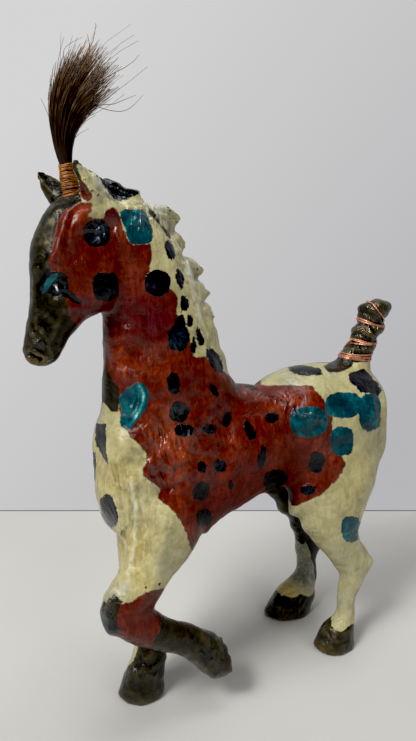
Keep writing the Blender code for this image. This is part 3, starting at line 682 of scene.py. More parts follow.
def outline_distance(points, outline):
    """Signed distance of each point from a closed outline: below zero inside."""
    ring = list(outline) + [outline[0]]
    nearest = line_distance(points, ring)
    inside = np.zeros(len(points), dtype=bool)
    for (x1, y1), (x2, y2) in zip(ring, ring[1:]):
        if y1 == y2:
            continue
        spans = (points[:, 1] < y1) != (points[:, 1] < y2)
        crossing = x1 + (points[:, 1] - y1) * (x2 - x1) / (y2 - y1)
        inside ^= spans & (points[:, 0] < crossing)
    return np.where(inside, -nearest, nearest)


print("largest outline has", len(RED_COAT), "corners")

# %% [markdown]
# ## The spots
#
# A spot has a board position, a width and a height in points, a slope, and how square it is: 2 is an oval
# and 4 nearly a rounded square. It is kept to the part of the skin round its middle, so that it doesn't
# come out on the other side of the horse. The far side, which the photograph doesn't show, has spots of the
# same kinds, laid out in shares as seen from that side.

# %% List the spots
NAVY_SPOTS = [
    (97, 233.5, 26, 27, 0, 2.4),
    (105.7, 286.6, 26, 29, 0, 3.0),
    (157.6, 283, 26, 26, 10, 2.6),
    (178.6, 338, 22, 27, 0, 2.2),
    (180, 323, 11, 16, 8, 2.0),
    (158, 307, 4.5, 4, 0, 2),
    (173.5, 383, 13, 21, 0, 3.2),
    (179, 412, 19, 20, 20, 2.8),
    (184.5, 430.5, 21, 12, 0, 2.6),
    (209.5, 429, 12, 10, 0, 2.4),
    (226.5, 419.5, 9, 15, 15, 2.2),
    (214.5, 391, 7, 14, -30, 2.2),
    (249.6, 430.5, 9, 20, -24, 2.4),
    (272, 417.5, 15, 11, 0, 2.2),
    (262, 457, 8, 22, 8, 2.2),
    (220, 466, 12, 13, 0, 2.6),
    (202, 467.6, 9, 12, 0, 2.4),
    (231, 485, 6, 10, 0, 2),
    (201, 491, 16, 19, 25, 2.4),
    (204, 518, 16, 17, 0, 2.8),
    (276, 482, 24, 25, 0, 2.5),
    (316.7, 462, 15, 21, 6, 3.0),
    (308, 490, 17, 10, 0, 2.2),
    (305, 370.5, 33, 10, 5, 2.2),
    # Two thin dark dashes along the crease above the back: painted shade in the crease
    (251, 387, 15, 4, 20, 2.0),
    (283, 401, 9, 3, 25, 2.0),
    [
        (348, 374.5), (354, 371.5), (364.7, 368.7), (370.3, 375.5), (377.2, 382.5), (382, 391), (376, 398.5),
        (369, 393), (360.6, 392.5), (356.4, 387), (350, 382),
    ],
    [(90, 452), (95.2, 452), (96.5, 466), (95.5, 481), (90, 481)],
    [(96, 423.5), (105.7, 424), (106.2, 452), (109.5, 466.5), (100.5, 453.5), (95, 440)],
    (109, 511, 16, 34, -14, 2.2),
]
MANE_DASHES = [
    (154, 216, 4.6, 18, -38, 2.0), (166.5, 233, 3.6, 17, -36, 2.0), (169.8, 250.5, 9, 21, -14, 2.0),
    (180, 279, 8, 20, -12, 2.0), (184.5, 304, 9.5, 16, -4, 2.0), (190, 321, 6.5, 14, -10, 2.0),
    (193.5, 346, 6.5, 17, 0, 2.0), (200, 337, 6.5, 18, -16, 2.0), (214.5, 360, 12, 29, -28, 2.2),
    (238, 386, 7, 5, 0, 2.0),
]
TEAL_SPOTS = [
    [
        (119.5, 212), (124.8, 209.5), (142.6, 209.3), (146.5, 214), (150, 224), (153, 231.5), (152, 241),
        (146, 244), (132, 244.5), (127, 238.5), (126, 229), (121.5, 222),
    ],
    (308.7, 421.8, 38, 31, 0, 2.4), (343.6, 405, 38, 26, 0, 2.4), (370, 412, 22, 38, 0, 2.6),
    (342, 441, 24, 29, 0, 2.6), (351, 529, 19, 26, 0, 2.6),
]
TEAL_CRESCENT = [
    (128, 387), (136, 383), (144, 384), (149, 390), (149, 400), (146, 409), (140, 418), (132, 427),
    (127, 430), (122, 427), (120, 420), (122, 411), (120, 403), (119, 396),
]
TEAL_BROW = [
    (41, 292.5), (43, 286.5), (46.5, 279), (50.5, 275), (57.5, 273), (59.3, 276.5), (54.5, 280.5),
    (50, 285.5), (46.3, 291.5), (43.2, 294.2),
]
EYE_PATCH = [
    (45, 274), (47.4, 270), (55.7, 270.7), (65, 273.5), (67.8, 277), (68.8, 288.5), (73.5, 295), (80, 300),
    (83, 303.5), (77, 304), (70, 301), (65.5, 296.5), (58, 296.5), (51, 292.5), (46, 290), (42, 292),
    (41.5, 286),
]
EAR_PATCH = [
    (79.5, 179), (82.5, 182), (85.5, 184), (87.5, 187), (89.5, 191.5), (91.8, 196), (91, 199.8), (87, 200.3),
    (82.5, 198.5), (80.5, 193), (79, 186),
]
# A white mark on the eye, a painted highlight that stands for a lamp's reflection
EYE_PAINTED_HIGHLIGHT = [(56, 286.5), (57.6, 290.5)]
# On the far side: x and z in shares, then width, height, slope and squareness
FAR_NAVY = [
    (-8.0, 88.5, 5, 5, 0, 2.6), (-7.0, 78.5, 5, 5.5, 0, 3), (1.5, 74.0, 4, 5, 0, 2.4),
    (7.0, 66.0, 4.5, 6, 15, 2.4), (-1.0, 61.5, 4.5, 4, 0, 2.6), (9.5, 55.5, 4.5, 5, 0, 2.8),
    (3.0, 52.0, 3, 3.5, 0, 2.2), (14.0, 50.0, 3, 5, 20, 2.2), (19.5, 54.0, 3.4, 3.4, 0, 2.4),
    (18.0, 45.0, 4, 4.5, 0, 2.6), (24.5, 48.5, 3, 5, -15, 2.2), (23.0, 41.5, 4, 3.4, 0, 2.4),
    (29.5, 52.5, 3.4, 3, 0, 2.2), (31.0, 43.0, 4.5, 5.5, 0, 2.6), (36.0, 48.0, 4, 4, 0, 2.8),
    (44.0, 59.5, 7, 4, -12, 2.4), (50.5, 40.0, 4, 6, 12, 2.2), (-2.5, 41.0, 4, 5.5, 0, 2.4),
    (9.0, 45.0, 3.5, 4, 0, 2.4),
]
FAR_TEAL = [
    (4.5, 81.5, 6.5, 6.5, 0, 3), (-3.0, 54.5, 6, 8, 20, 2.4), (38.0, 56.0, 7, 5.5, 0, 2.4),
    (46.0, 52.5, 6.5, 6, 0, 2.6), (42.5, 45.5, 5, 6, 0, 2.6), (46.5, 33.5, 4.5, 6, 0, 2.6),
]


def oval_distance(points, spot):
    """Signed distance from a spot's edge, in the units of the points."""
    x, y, width, height, slope, square = spot
    turn = math.radians(slope)
    away = points - np.array([x, y])
    along = (away[:, 0] * math.cos(turn) + away[:, 1] * math.sin(turn)) / (width / 2)
    down = (away[:, 1] * math.cos(turn) - away[:, 0] * math.sin(turn)) / (height / 2)
    size = (np.abs(along) ** square + np.abs(down) ** square) ** (1 / square)
    return (size - 1.0) * min(width, height) / 2


print(len(NAVY_SPOTS + MANE_DASHES + TEAL_SPOTS + FAR_NAVY + FAR_TEAL), "spots")

# %% [markdown]
# ## From outlines to distances
#
# A leg's patches go right round it, and the body's large areas are read as mirror images on the far side.
# An oval is sized by the millimetres that a point covers at its middle.

# %% Measure from areas and spots
FAR_EAR = (place(-12.3, 4.1, 96.6), 5.6)  # middle, and reach in shares
TAIL_FOOT = 62.5  # shares
THIGH_EDGE = (34.5, 0.25, 44.0)  # the far thigh's slanting edge: height, slope and x, in shares
FAR_SIDE = 60  # shares, well outside the horse
WANDER = (45.0, 7.0)  # how the far side's edges wander: size in millimetres, amount in points
WANDER_START = 12 * MM  # how far past the middle they wander in full
FAR_AWAY = 30.0  # millimetres, for places on another part
# The width of the eye's painted highlight
EYE_HIGHLIGHT_WIDTH = 1.8  # points
MOST_KEPT = 8.0  # millimetres, beyond which distances aren't told apart
# How far a spot reaches from its middle: a share of its size, and millimetres
NEAR_REACH = (0.9, 3.0)
FAR_REACH = (0.8, 2.0)

count = len(places)
faces = [face.vertices for face in horse.data.polygons]
skin = BVHTree.FromPolygons([Vector(spot) for spot in places], faces)
own_board, points_mm = on_board(places)
body_board, body_mm = on_board(near_side(places))
far_share = np.clip(places[:, 1] / WANDER_START, 0.0, 1.0)
for axis, shift in enumerate((Vector((3.1, 0, 0)), Vector((0, 7.7, 0)))):
    wandering = np.array([noise.noise(Vector(spot) / (WANDER[0] * MM) + shift) for spot in places])
    body_board[:, axis] += WANDER[1] * wandering * far_share


def write_values(thing, name, values):
    """Write one number for each vertex, under a name that the material reads."""
    column = thing.data.attributes.new(name, "FLOAT", "POINT")
    column.data.foreach_set("value", np.ascontiguousarray(values).ravel())


def area(outline, where="body"):
    """Distances in millimetres from an area that is kept to one part of the horse."""
    board, mm = (body_board, body_mm) if where == "body" else (own_board, points_mm)
    return np.where(part[where], outline_distance(board, outline) * mm, FAR_AWAY)


def near_spot(spot):
    """Distances from an oval or an outlined spot on the board, kept to the skin round its middle."""
    outlined = isinstance(spot, list)
    middle = np.mean(spot, axis=0) if outlined else spot[:2]
    size = np.ptp(spot, axis=0).max() if outlined else max(spot[2:4])
    hit = skin.ray_cast(EYE, sight_line(middle))[0]
    if hit is None:  # the middle lies off the outline, so the nearest skin is taken
        hit = skin.find_nearest(EYE + sight_line(middle) * (Vector(places.mean(axis=0)) - EYE).length)[0]
    middle_mm = (hit - EYE).dot(ahead) / FOCAL_POINTS / MM
    away = np.linalg.norm(places - np.array(hit), axis=1) / MM
    edge = outline_distance(own_board, spot) if outlined else oval_distance(own_board, spot)
    return np.maximum(edge * middle_mm, away - size * middle_mm * NEAR_REACH[0] - NEAR_REACH[1])


def far_spot(spot):
    """Distances from a spot on the far side."""
    hit = skin.ray_cast(place(spot[0], FAR_SIDE, spot[1]), Vector((0, -1, 0)))[0]
    side_view = np.stack([(places[:, 0] - FRONT_LEGS_X) / SHARE, places[:, 2] / SHARE], axis=1)
    away = np.linalg.norm(places - np.array(hit), axis=1)
    reach = max(spot[2], spot[3]) * SHARE * FAR_REACH[0] + FAR_REACH[1] * MM
    return np.maximum(oval_distance(side_view, spot) * SHARE, away - reach) / MM


print("skin for the spots:", len(places), "vertices")

# %% [markdown]
# Every colour now gets the distance to the nearest of its outlines and spots.

# %% Give every vertex its distances
edge_height, edge_slope, edge_x = THIGH_EDGE
thigh_edge = places[:, 2] / SHARE - edge_height + edge_slope * (places[:, 0] / SHARE - edge_x)
far_hind_bare = np.maximum(-outline_distance(own_board, FAR_STOCKING) * points_mm, thigh_edge * SHARE / MM)
far_hind_bare = np.where(part["far hind"], far_hind_bare, FAR_AWAY)
far_ear = np.linalg.norm(places - np.array(FAR_EAR[0]), axis=1) / MM - FAR_EAR[1] * SHARE / MM
tail = line_distance(places, TAIL_LINE) - TAIL_REACH * SHARE
tail = np.maximum(tail, TAIL_FOOT * SHARE - places[:, 2]) / MM
distances = {
    "red": [area(RED_COAT), area(RED_COAT, "near fore"), area(RED_KNEE, "near fore"), near_spot(EAR_PATCH)],
    "bare": [
        area(BARE_FACE), area(BARE_THROAT), area(BARE_GROIN), area(CROUP_PATCH), area(KNEE_CAP, "near fore"),
        area(BARE_CANNON, "near fore"), area(FAR_FORE_BARE, "far fore"), area(NEAR_HOOF, "near hind"),
        far_hind_bare, far_ear, tail, area(EAR_EDGE),
    ],
    "navy": [near_spot(spot) for spot in NAVY_SPOTS + MANE_DASHES] + [far_spot(spot) for spot in FAR_NAVY] + [
        area(DARK_LOCK), area(EYE_PATCH), area(FAR_HIND_NAVY, "far hind"), area(KNEE_BLACK, "near fore"),
        *[area(speck, "near fore") for speck in KNEE_SPECKS],
    ],
    "teal": [near_spot(spot) for spot in TEAL_SPOTS] + [far_spot(spot) for spot in FAR_TEAL] + [
        area(TEAL_CRESCENT), area(TEAL_BROW),
    ],
    # The eye's painted highlight: a white mark on both eyes
    "painted_eye_highlight": [(line_distance(body_board, EYE_PAINTED_HIGHLIGHT) - EYE_HIGHLIGHT_WIDTH / 2) * body_mm],
}
for name, edges in distances.items():
    values = np.clip(np.min(edges, axis=0), -MOST_KEPT, MOST_KEPT)
    write_values(horse, name, values)
    print(name, "covers", round(float((values < 0).mean()) * 100, 1), "% of the vertices")

# %% [markdown]
# ## Ridges and hollows: rubbed edges, and painted light and shade
#
# Handling polishes the ridges of a bronze and wears the paint from thin tips. The colours are also made
# paler on ridges and darker in hollows, partly as polish and patina and partly as painted highlight and
# painted shade. How far a vertex stands out from its neighbours tells which it is, and the material reads
# that
# as one number: above a half on ridges, below in hollows.

# %% Measure ridges and hollows
RIDGE_RADIUS = 4.0  # a ridge as round as this, in millimetres, counts in full
EVENING_STEPS = 3
pairs = np.empty(len(horse.data.edges) * 2, dtype=np.int64)
horse.data.edges.foreach_get("vertices", pairs)
pairs = pairs.reshape(-1, 2)
ends = np.concatenate([pairs, pairs[:, ::-1]])
degree = np.bincount(ends[:, 0], minlength=count)
lengths = np.linalg.norm(places[ends[:, 0]] - places[ends[:, 1]], axis=1)


def neighbour_mean(values):
    """The mean of each vertex's neighbours."""
    return np.bincount(ends[:, 0], weights=values[ends[:, 1]], minlength=count) / degree


# Height over the neighbours' mean, times four over their squared spacing, is twice the mean curvature
mean_place = np.stack([neighbour_mean(places[:, axis]) for axis in range(3)], axis=1)
spacing = np.bincount(ends[:, 0], weights=lengths, minlength=count) / degree
normals = vertex_rows(horse.data, "normal")
ridge = np.einsum("ij,ij->i", places - mean_place, normals) * 4 / spacing ** 2 * RIDGE_RADIUS * MM
for _ in range(EVENING_STEPS):
    ridge = 0.5 * ridge + 0.5 * neighbour_mean(ridge)
ridge = np.clip(0.5 + ridge * 0.5, 0.0, 1.0)
write_values(horse, "ridge", ridge)
write_values(horse, "tips", ridge * thinness(places))
print("ridges above 0.7:", int((ridge > 0.7).sum()), "hollows below 0.3:", int((ridge < 0.3).sum()))

# %% [markdown]
# ## Soft changes within a colour
#
# The painter worked more than one red into the coat: orange on the temple, the throat and the shoulder,
# maroon on the cheek, the neck and under the belly. The cream is greyer where it is thin, on the croup and
# the far stocking, and whiter where it is thick. Pale streaks down the forearm, along the neck's teal
# crescent and in small spots on the head are painted highlights. These changes are soft, so each is a patch
# that fades out from a middle or from a line. Patches of the same kind say where the skin is crumpled and
# where the surface is rubbed or dusty.

# %% List the soft patches
# Board position, reach in points, amount: above zero for maroon or grey, below for orange or yellow
RED_SHADES = [
    ((100, 330), 14, 0.5), ((140, 300), 14, 0.2), ((142, 338), 18, 0.4), ((84, 212), 13, -0.8),
    ((62, 240), 9, 0.3), ((112, 214), 8, 0.8), ((100, 258), 16, -0.2), ((85, 312), 16, 0.7),
    ((150, 262), 12, 0.3), ((158, 318), 22, 0.8), ((118, 312), 20, 0.7), ((172, 446), 24, -0.7),
    ((124, 352), 20, -0.4), ((150, 365), 16, -0.2), ((190, 380), 16, 0.4), ((160, 432), 22, -0.5),
    ((236, 440), 20, 0.1), ((252, 470), 16, 0.4), ((222, 402), 16, 0.4), ((290, 410), 22, -0.1),
    ((300, 470), 24, 0.1), ((225, 505), 22, 0.6), ((292, 492), 12, 0.5), ((196, 540), 12, 0.2),
    ((142, 626), 18, 0.2), ((152, 612), 8, 0.4), ((136, 605), 9, -0.1), ((330, 450), 12, -0.3),
    ((84, 186), 5, 1.6), ((90, 198), 4, -0.5),
]
CREAM_SHADES = [
    ((288, 380), 16, 0.5), ((330, 372), 12, 0.4), ((108, 188), 13, 0.65), ((160, 208), 12, 0.7),
    ((112, 480), 22, -0.7), ((133, 545), 20, -0.7), ((140, 580), 16, -0.5), ((165, 560), 16, 0.4),
    ((375, 440), 16, 0.3), ((307, 572), 13, 2.2), ((300, 545), 9, 1.4), ((287, 592), 8, -1.6),
    ((82, 168), 9, 0.4), ((350, 560), 16, 0.3), ((172, 224), 8, 0.4), ((192, 268), 8, 0.5),
    ((345, 600), 14, 0.4), ((360, 480), 26, -0.2), ((110, 600), 12, 0.6), ((125, 586), 8, 0.6),
]
# Where the skin is crumpled like drapery, and where it is only lightly brushed
CRUMPLED = [
    ([(246, 391), (262, 396), (283, 403), (300, 411), (318, 416), (334, 418.5)], 3.0, 1.0),
    ((162, 440), 16, 1.0), ((158, 474), 12, 0.8), ((178, 478), 11, 0.8), ((190, 440), 13, 0.5),
    ((150, 358), 12, 0.5), ((138, 222), 14, 0.9), ((97, 230), 13, 0.8), ((118, 230), 9, 0.7),
    ((62, 240), 8, 0.4), ((135, 405), 12, 0.5), ((130, 500), 16, 0.5), ((128, 532), 14, 0.75),
    ((112, 562), 12, 0.4), ((178, 412), 11, 0.5), ((214, 432), 16, 0.4), ((290, 410), 22, 0.4),
    ((120, 190), 18, 0.5), ((370, 330), 30, 0.5), ((200, 652), 26, 0.3), ((216, 664), 12, 0.3),
    ((148, 680), 24, 0.4), ((290, 606), 18, 0.4), ((338, 642), 16, 0.3), ((42, 345), 14, 0.45),
    ((200, 500), 30, 0.2), ((160, 213), 14, 0.5), ((184, 260), 14, 0.5), ((200, 300), 12, 0.5),
    ((170, 235), 12, 0.4), ((110, 605), 9, 0.6), ((150, 180), 9, 0.4),
]
# Where teal and navy were brushed out thin and light, and cream was laid on thick and white. The streaks down
# the forearm, along the neck's teal crescent and the small spots on the head are painted highlights
LIGHT_PAINT_AND_HIGHLIGHTS = [
    ([(131, 484), (136, 512), (134, 545), (127, 575)], 2.8, 0.9),
    ([(141, 500), (146, 530), (142, 560)], 2.0, 0.6), ([(112, 470), (116, 500), (119, 530)], 2.4, 0.6),
    ([(93, 172), (104, 186), (112, 196)], 3.0, 0.8), ([(130, 201), (150, 204), (166, 210)], 3.0, 0.6),
    ([(186, 262), (193, 290), (200, 318)], 2.6, 0.5),
    ([(150, 205), (172, 232), (186, 262), (198, 300), (206, 340)], 7.0, 0.5),
    ([(84, 168), (98, 184)], 7.0, 0.6),
    ([(140, 386), (143.6, 394), (142.5, 403), (139.5, 411), (134.5, 419), (130, 425)], 1.9, 0.75),
    ((139, 405), 12, 0.3), ((50, 284), 8, 0.3), ((142, 224), 14, -0.15), ((97, 232), 13, 0.5),
    ((351, 529), 12, -0.1), ((178, 338), 12, 1.0), ((136, 211), 4, 0.5), ((148, 211), 4, 0.4),
    ((131, 221), 4, 0.5), ((144, 231), 4, 0.4), ((95, 240), 6, 0.3), ((104, 224), 4, 0.4),
    ((178, 411), 10, 0.4), ((308, 418), 12, -0.2), ((342, 441), 14, -0.35), ((343, 402), 14, -0.1),
    ((372, 412), 14, -0.25),
]
# Where handling has rubbed the bare bronze golden
RUBBED = [
    ((54, 232), 15, 0.2), ((58, 222), 5, 0.4), ((48, 244), 5, 0.4), ((40, 358), 6, 0.7), ((32, 340), 8, 0.4),
    ((330, 645), 14, 0.4), ((366, 328), 12, 0.5),
]
# Where it is dusty and dull: the forehead, the knee, the hooves, the flank and the belly
DULL = [
    ((52, 234), 15, 1.0), ((142, 622), 18, 0.6), ((336, 645), 16, 0.6), ((148, 690), 20, 0.5),
    ((200, 652), 26, 0.3), ((272, 396), 24, 0.7), ((292, 456), 22, 0.6), ((276, 486), 26, 1.0),
    ((202, 506), 24, 0.9), ((240, 500), 26, 0.9),
]
print("soft patches:", sum(map(len, (RED_SHADES, CREAM_SHADES, CRUMPLED, LIGHT_PAINT_AND_HIGHLIGHTS, RUBBED, DULL))))

# %% [markdown]
# The patches of one kind are added up, and each kind becomes one number that the material reads.

# %% Give every vertex its shade
# The list of each number that the material reads, and the number away from all its patches
SHADES = {
    "rubbed": (RUBBED, 0.0), "dull": (DULL, 0.0), "crumpled": (CRUMPLED, 0.0),
    "red_shade": (RED_SHADES, 0.5), "cream_shade": (CREAM_SHADES, 0.5), "light_paint_and_highlights": (LIGHT_PAINT_AND_HIGHLIGHTS, 0.5),
}
shade_board = np.where(low[:, None], own_board, body_board)
for name, (patches, start) in SHADES.items():
    values = np.full(count, start)
    for line, reach, amount in patches:
        values += amount * (1 - start) * fading(shade_board, line, reach)
    write_values(horse, name, np.clip(values, 0.0, 1.0))
    print(name, "patches:", len(patches))

# %% [markdown]
# ## Colours and nodes
#
# Colours are picked as sRGB values, as from a paint chart, and Blender works in linear light, so one
# function turns them. A second adds a node with its settings and links in one call, and the others name the
# steps that every finish is made of.

# %% Helpers for materials


def paint(code):
    """A linear colour from an sRGB hex value."""
    parts = [int(code[index:index + 2], 16) / 255 for index in (1, 3, 5)]
    return (*[part / 12.92 if part <= 0.04045 else ((part + 0.055) / 1.055) ** 2.4 for part in parts], 1.0)


def add(material, kind, settings=None, inputs=None):
    """Add a node, set its settings, and set or link its inputs."""
    node = material.node_tree.nodes.new("ShaderNode" + kind)
    for name, value in (settings or {}).items():
        setattr(node, name, value)
    for socket, value in (inputs or {}).items():
        if isinstance(value, bpy.types.NodeSocket):
            material.node_tree.links.new(value, node.inputs[socket])
        else:
            node.inputs[socket].default_value = value
    return node


def attribute(material, name):
    """A number that was written for each vertex."""
    return add(material, "Attribute", {"attribute_name": name}).outputs["Fac"]


def maths(material, operation, first, second=0.0):
    """One calculation with one or two numbers."""
    return add(material, "Math", {"operation": operation}, {0: first, 1: second}).outputs[0]


def sum_of(material, terms, start=0.0):
    """Add up sources, each times its weight."""
    total = start
    for source, weight in terms:
        terms_so_far = {0: source, 1: weight, 2: total}
        total = add(material, "Math", {"operation": "MULTIPLY_ADD"}, terms_so_far).outputs[0]
    return total


def ranged(material, value, first, last, at_first=0.0, at_last=1.0, soft=False):
    """A value carried over from one range to another, and held at both ends."""
    settings = {"interpolation_type": "SMOOTHSTEP"} if soft else None
    ends = {"From Min": first, "From Max": last, "To Min": at_first, "To Max": at_last}
    return add(material, "MapRange", settings, {"Value": value, **ends}).outputs["Result"]


def mixed(material, share, first, second):
    """A colour between two others. The share is held between 0 and 1."""
    return add(material, "Mix", {"data_type": "RGBA"}, {0: share, 6: first, 7: second}).outputs[2]


def shades_of(material, tone, stops):
    """A colour ramp through sRGB codes at given positions."""
    ramp = add(material, "ValToRGB", None, {"Fac": tone})
    while len(ramp.color_ramp.elements) < len(stops):
        ramp.color_ramp.elements.new(0.5)
    for element, (code, position) in zip(ramp.color_ramp.elements, stops):
        element.position = position
        element.color = paint(code)
    return ramp.outputs["Color"]


def grain(material, spot, size, detail=4.0, roughness=0.6, distortion=0.0):
    """Noise whose lumps are about the given size in millimetres."""
    kind = {"Detail": detail, "Roughness": roughness, "Distortion": distortion}
    return add(material, "TexNoise", None, {"Vector": spot, "Scale": 1 / (size * MM), **kind}).outputs["Fac"]


def turned(material, spot, angles, stretch):
    """Places turned by angles in degrees and scaled, for a pattern that runs one way."""
    radians = [math.radians(angle) for angle in angles]
    return add(material, "Mapping", None, {"Vector": spot, "Rotation": radians, "Scale": stretch}).outputs[0]


def object_spot(material):
    """Places in the object's own frame, in metres."""
    return add(material, "TexCoord").outputs["Object"]


def along_way(material, spot, way):
    """How far a place or a direction reaches along a given way."""
    settings = {"operation": "DOT_PRODUCT"}
    return add(material, "VectorMath", settings, {0: spot, 1: tuple(way)}).outputs["Value"]


def surface(material, inputs):
    """End a material with a shader that has these inputs."""
    shader = add(material, "BsdfPrincipled", None, inputs)
    add(material, "OutputMaterial", None, {"Surface": shader.outputs["BSDF"]})


def new_material(name):
    """A material without nodes of its own."""
    material = bpy.data.materials.new(name)
    material.use_nodes = True
    material.node_tree.nodes.clear()
    return material


print("cream in linear light:", [round(part, 3) for part in paint("#bbb385")])

# %% [markdown]
# ## Brushed enamel over patinated bronze
#
# The paint is a semi-gloss enamel, put on by hand with a soft brush, so it has streaks, thin places and
# thick edges. Where there is none the bronze shows its dark olive-brown patina, and its ridges are painted a
# dull golden tone, partly polish and partly a painted highlight. The colours are laid over one another in the
# order in which they were painted. To the eye the enamel gives saturated, dark colours with many small
# glints, and the bronze a greasy, almost black shine.

# %% Patterns of the brush and the metal
enamel = new_material("brushed enamel on patinated bronze")
spot = object_spot(enamel)
blotch = grain(enamel, spot, 14)
patchy = grain(enamel, spot, 5, 5.0, 0.65, 0.6)
ragged = grain(enamel, spot, 2.6, 2.0)
speck = grain(enamel, spot, 1.5, 3.0)
# Brush marks run two ways, and a broad noise chooses between them
marks = [
    grain(enamel, turned(enamel, spot, angles, (1.0, 1.0, 0.22)), 1.8, 4.0, 0.65, 0.8)
    for angles in ((8, -24, 0), (-10, 50, 20))
]
choice = ranged(enamel, grain(enamel, spot, 22, 2.0), 0.42, 0.58, soft=True)
streak = add(enamel, "Mix", {"data_type": "FLOAT"}, {0: choice, 2: marks[0], 3: marks[1]}).outputs[0]
ridge_wear_and_painted_light, tips, red_shade, cream_shade, crumpled, light_paint_and_highlights, rubbed, dull = [
    attribute(enamel, name)
    for name in ("ridge", "tips", "red_shade", "cream_shade", "crumpled", "light_paint_and_highlights", "rubbed", "dull")
]
# Folds are sharp-crested: a soft noise is folded over at its middle value
fold_noise = grain(enamel, turned(enamel, spot, (0, -28, 0), (1.0, 1.0, 0.42)), 6.4, 1.2, 0.5, 0.9)
folds = maths(enamel, "ABSOLUTE", sum_of(enamel, [(fold_noise, -1.0)], 0.5))
folds = maths(enamel, "MULTIPLY", folds, crumpled)
print("patterns made with", len(enamel.node_tree.nodes), "nodes")

# %% [markdown]
# Each coat has a ramp from its dark to its light tone. Cream and red have second tones, which come out
# where the soft patches say so.

# %% Mix the colours of the coats
# The sources of a colour's tone with their weights, and its dark, middle and light tones with their positions
# The ridge number makes cream and bronze paler on ridges and darker in hollows: partly wear and patina,
# partly painted highlight and painted shade
COATS = {
    "cream": (
        [(blotch, 0.30), (patchy, 0.40), (streak, 0.20), (ridge_wear_and_painted_light, 0.10)],
        [("#807a53", 0.34), ("#a49c6f", 0.46), ("#bbb385", 0.56), ("#cdc69b", 0.70)],
    ),
    "red": (
        [(blotch, 0.35), (patchy, 0.40), (streak, 0.25)],
        [("#360f08", 0.34), ("#5b1c10", 0.50), ("#944020", 0.68)],
    ),
    "bare": (
        [(blotch, 0.25), (patchy, 0.30), (speck, 0.15), (ridge_wear_and_painted_light, 0.30), (rubbed, 0.14)],
        [("#171611", 0.34), ("#24221a", 0.50), ("#3a3526", 0.62), ("#75633b", 0.80)],
    ),
    "navy": (
        [(blotch, 0.3), (patchy, 0.4), (streak, 0.3), (light_paint_and_highlights, 0.24)],
        [("#030508", 0.52), ("#0a0f16", 0.67), ("#2f3b48", 0.84)],
    ),
    # Teal's near-white top tone comes out where the painted highlights lie
    "teal": (
        [(blotch, 0.5), (patchy, 0.4), (streak, 0.1), (light_paint_and_highlights, 0.50)],
        [("#021f27", 0.59), ("#043f4a", 0.73), ("#157173", 0.86), ("#a5d8cf", 0.99)],
    ),
    # The eye's painted highlight is white
    "painted_eye_highlight": ([(speck, 1.0)], [("#c8d4dc", 0.3), ("#ffffff", 0.7)]),
}
# Second tones of a coat: what brings each out and from which start, then its own sources and tones
SECOND_TONES = [
    ("cream", [(cream_shade, -2.2), (patchy, 1.6)], 0.35,
     [(patchy, 0.5), (streak, 0.5)], [("#97823f", 0.40), ("#cdbd7e", 0.60)]),
    ("cream", [(cream_shade, 2.2), (patchy, 2.0)], -2.15,
     [(patchy, 0.6), (speck, 0.4)], [("#5a5f58", 0.40), ("#a9ac9c", 0.62)]),
    # The cream's white second tone: thick white paint, and the painted highlight streaks down the forearm
    ("cream", [(light_paint_and_highlights, 2.2), (streak, 1.8), (patchy, 0.8)], -2.85,
     [(speck, 1.0)], [("#c9c9b4", 0.35), ("#e4e2d2", 0.65)]),
    ("red", [(red_shade, 2.0), (patchy, 0.8), (blotch, 0.8)], -1.8,
     [(patchy, 0.4), (streak, 0.6)], [("#2a0e12", 0.36), ("#5e1e26", 0.66)]),
    ("red", [(red_shade, -2.0), (patchy, 0.8), (blotch, 0.8)], 0.10,
     [(patchy, 0.4), (streak, 0.6)], [("#6a2817", 0.36), ("#a64d2a", 0.66)]),
]
coats = {name: shades_of(enamel, sum_of(enamel, sources), stops) for name, (sources, stops) in COATS.items()}
for name, reasons, start, sources, stops in SECOND_TONES:
    second = shades_of(enamel, sum_of(enamel, sources), stops)
    coats[name] = mixed(enamel, sum_of(enamel, reasons, start), coats[name], second)
print("coats:", ", ".join(coats))

# %% [markdown]
# Each coat ends where its distance, made unsteady by noise, passes zero. Red and bronze have a dark band
# just outside, a painted shadow of the paint's raised edge, and the bronze shows again on the worn tips.

# %% Lay the coats over one another
EDGE_BLUR = 0.14  # millimetres
# The dark band outside red and bronze is painted shade along the paint's raised edge
EDGE_SHADE_REACH = (0.55, 0.05)  # where the dark rim starts and where it is darkest, in millimetres outside the edge
EDGE_SHADE_DARKNESS = 0.55
WORN_FROM = (1.40, 1.45)  # tips above these values start to show bronze, and show it in full
wobble = sum_of(enamel, [(patchy, 1.5), (speck, 0.9), (ragged, 1.6)], -2.0)
colour = coats.pop("cream")
layers = 0.0
bareness = 0.0
for name, coat in coats.items():
    edge = maths(enamel, "ADD", attribute(enamel, name), wobble)
    mask = ranged(enamel, edge, EDGE_BLUR, -EDGE_BLUR, soft=True)
    if name in ("red", "bare"):
        # Painted shadow: a dark band just outside the edge
        painted_edge_shade = ranged(enamel, edge, *EDGE_SHADE_REACH, 0.0, EDGE_SHADE_DARKNESS, soft=True)
        colour = mixed(enamel, painted_edge_shade, colour, paint("#1f1a10"))
    if name == "bare":
        worn = ranged(enamel, sum_of(enamel, [(tips, 0.6), (speck, 0.9), (patchy, 0.6)]), *WORN_FROM)
        mask = bareness = maths(enamel, "MAXIMUM", mask, worn)
    else:
        bareness = maths(enamel, "MULTIPLY", bareness, maths(enamel, "SUBTRACT", 1.0, mask))
        layers = maths(enamel, "ADD", layers, mask)
    colour = mixed(enamel, mask, colour, coat)
print("laid with", len(enamel.node_tree.nodes), "nodes")

# %% [markdown]
# The paint stands up a little from the metal, brush marks and pits are finer than the mesh, and the
# crumpled skin has sharp folds and a second, wet gloss.

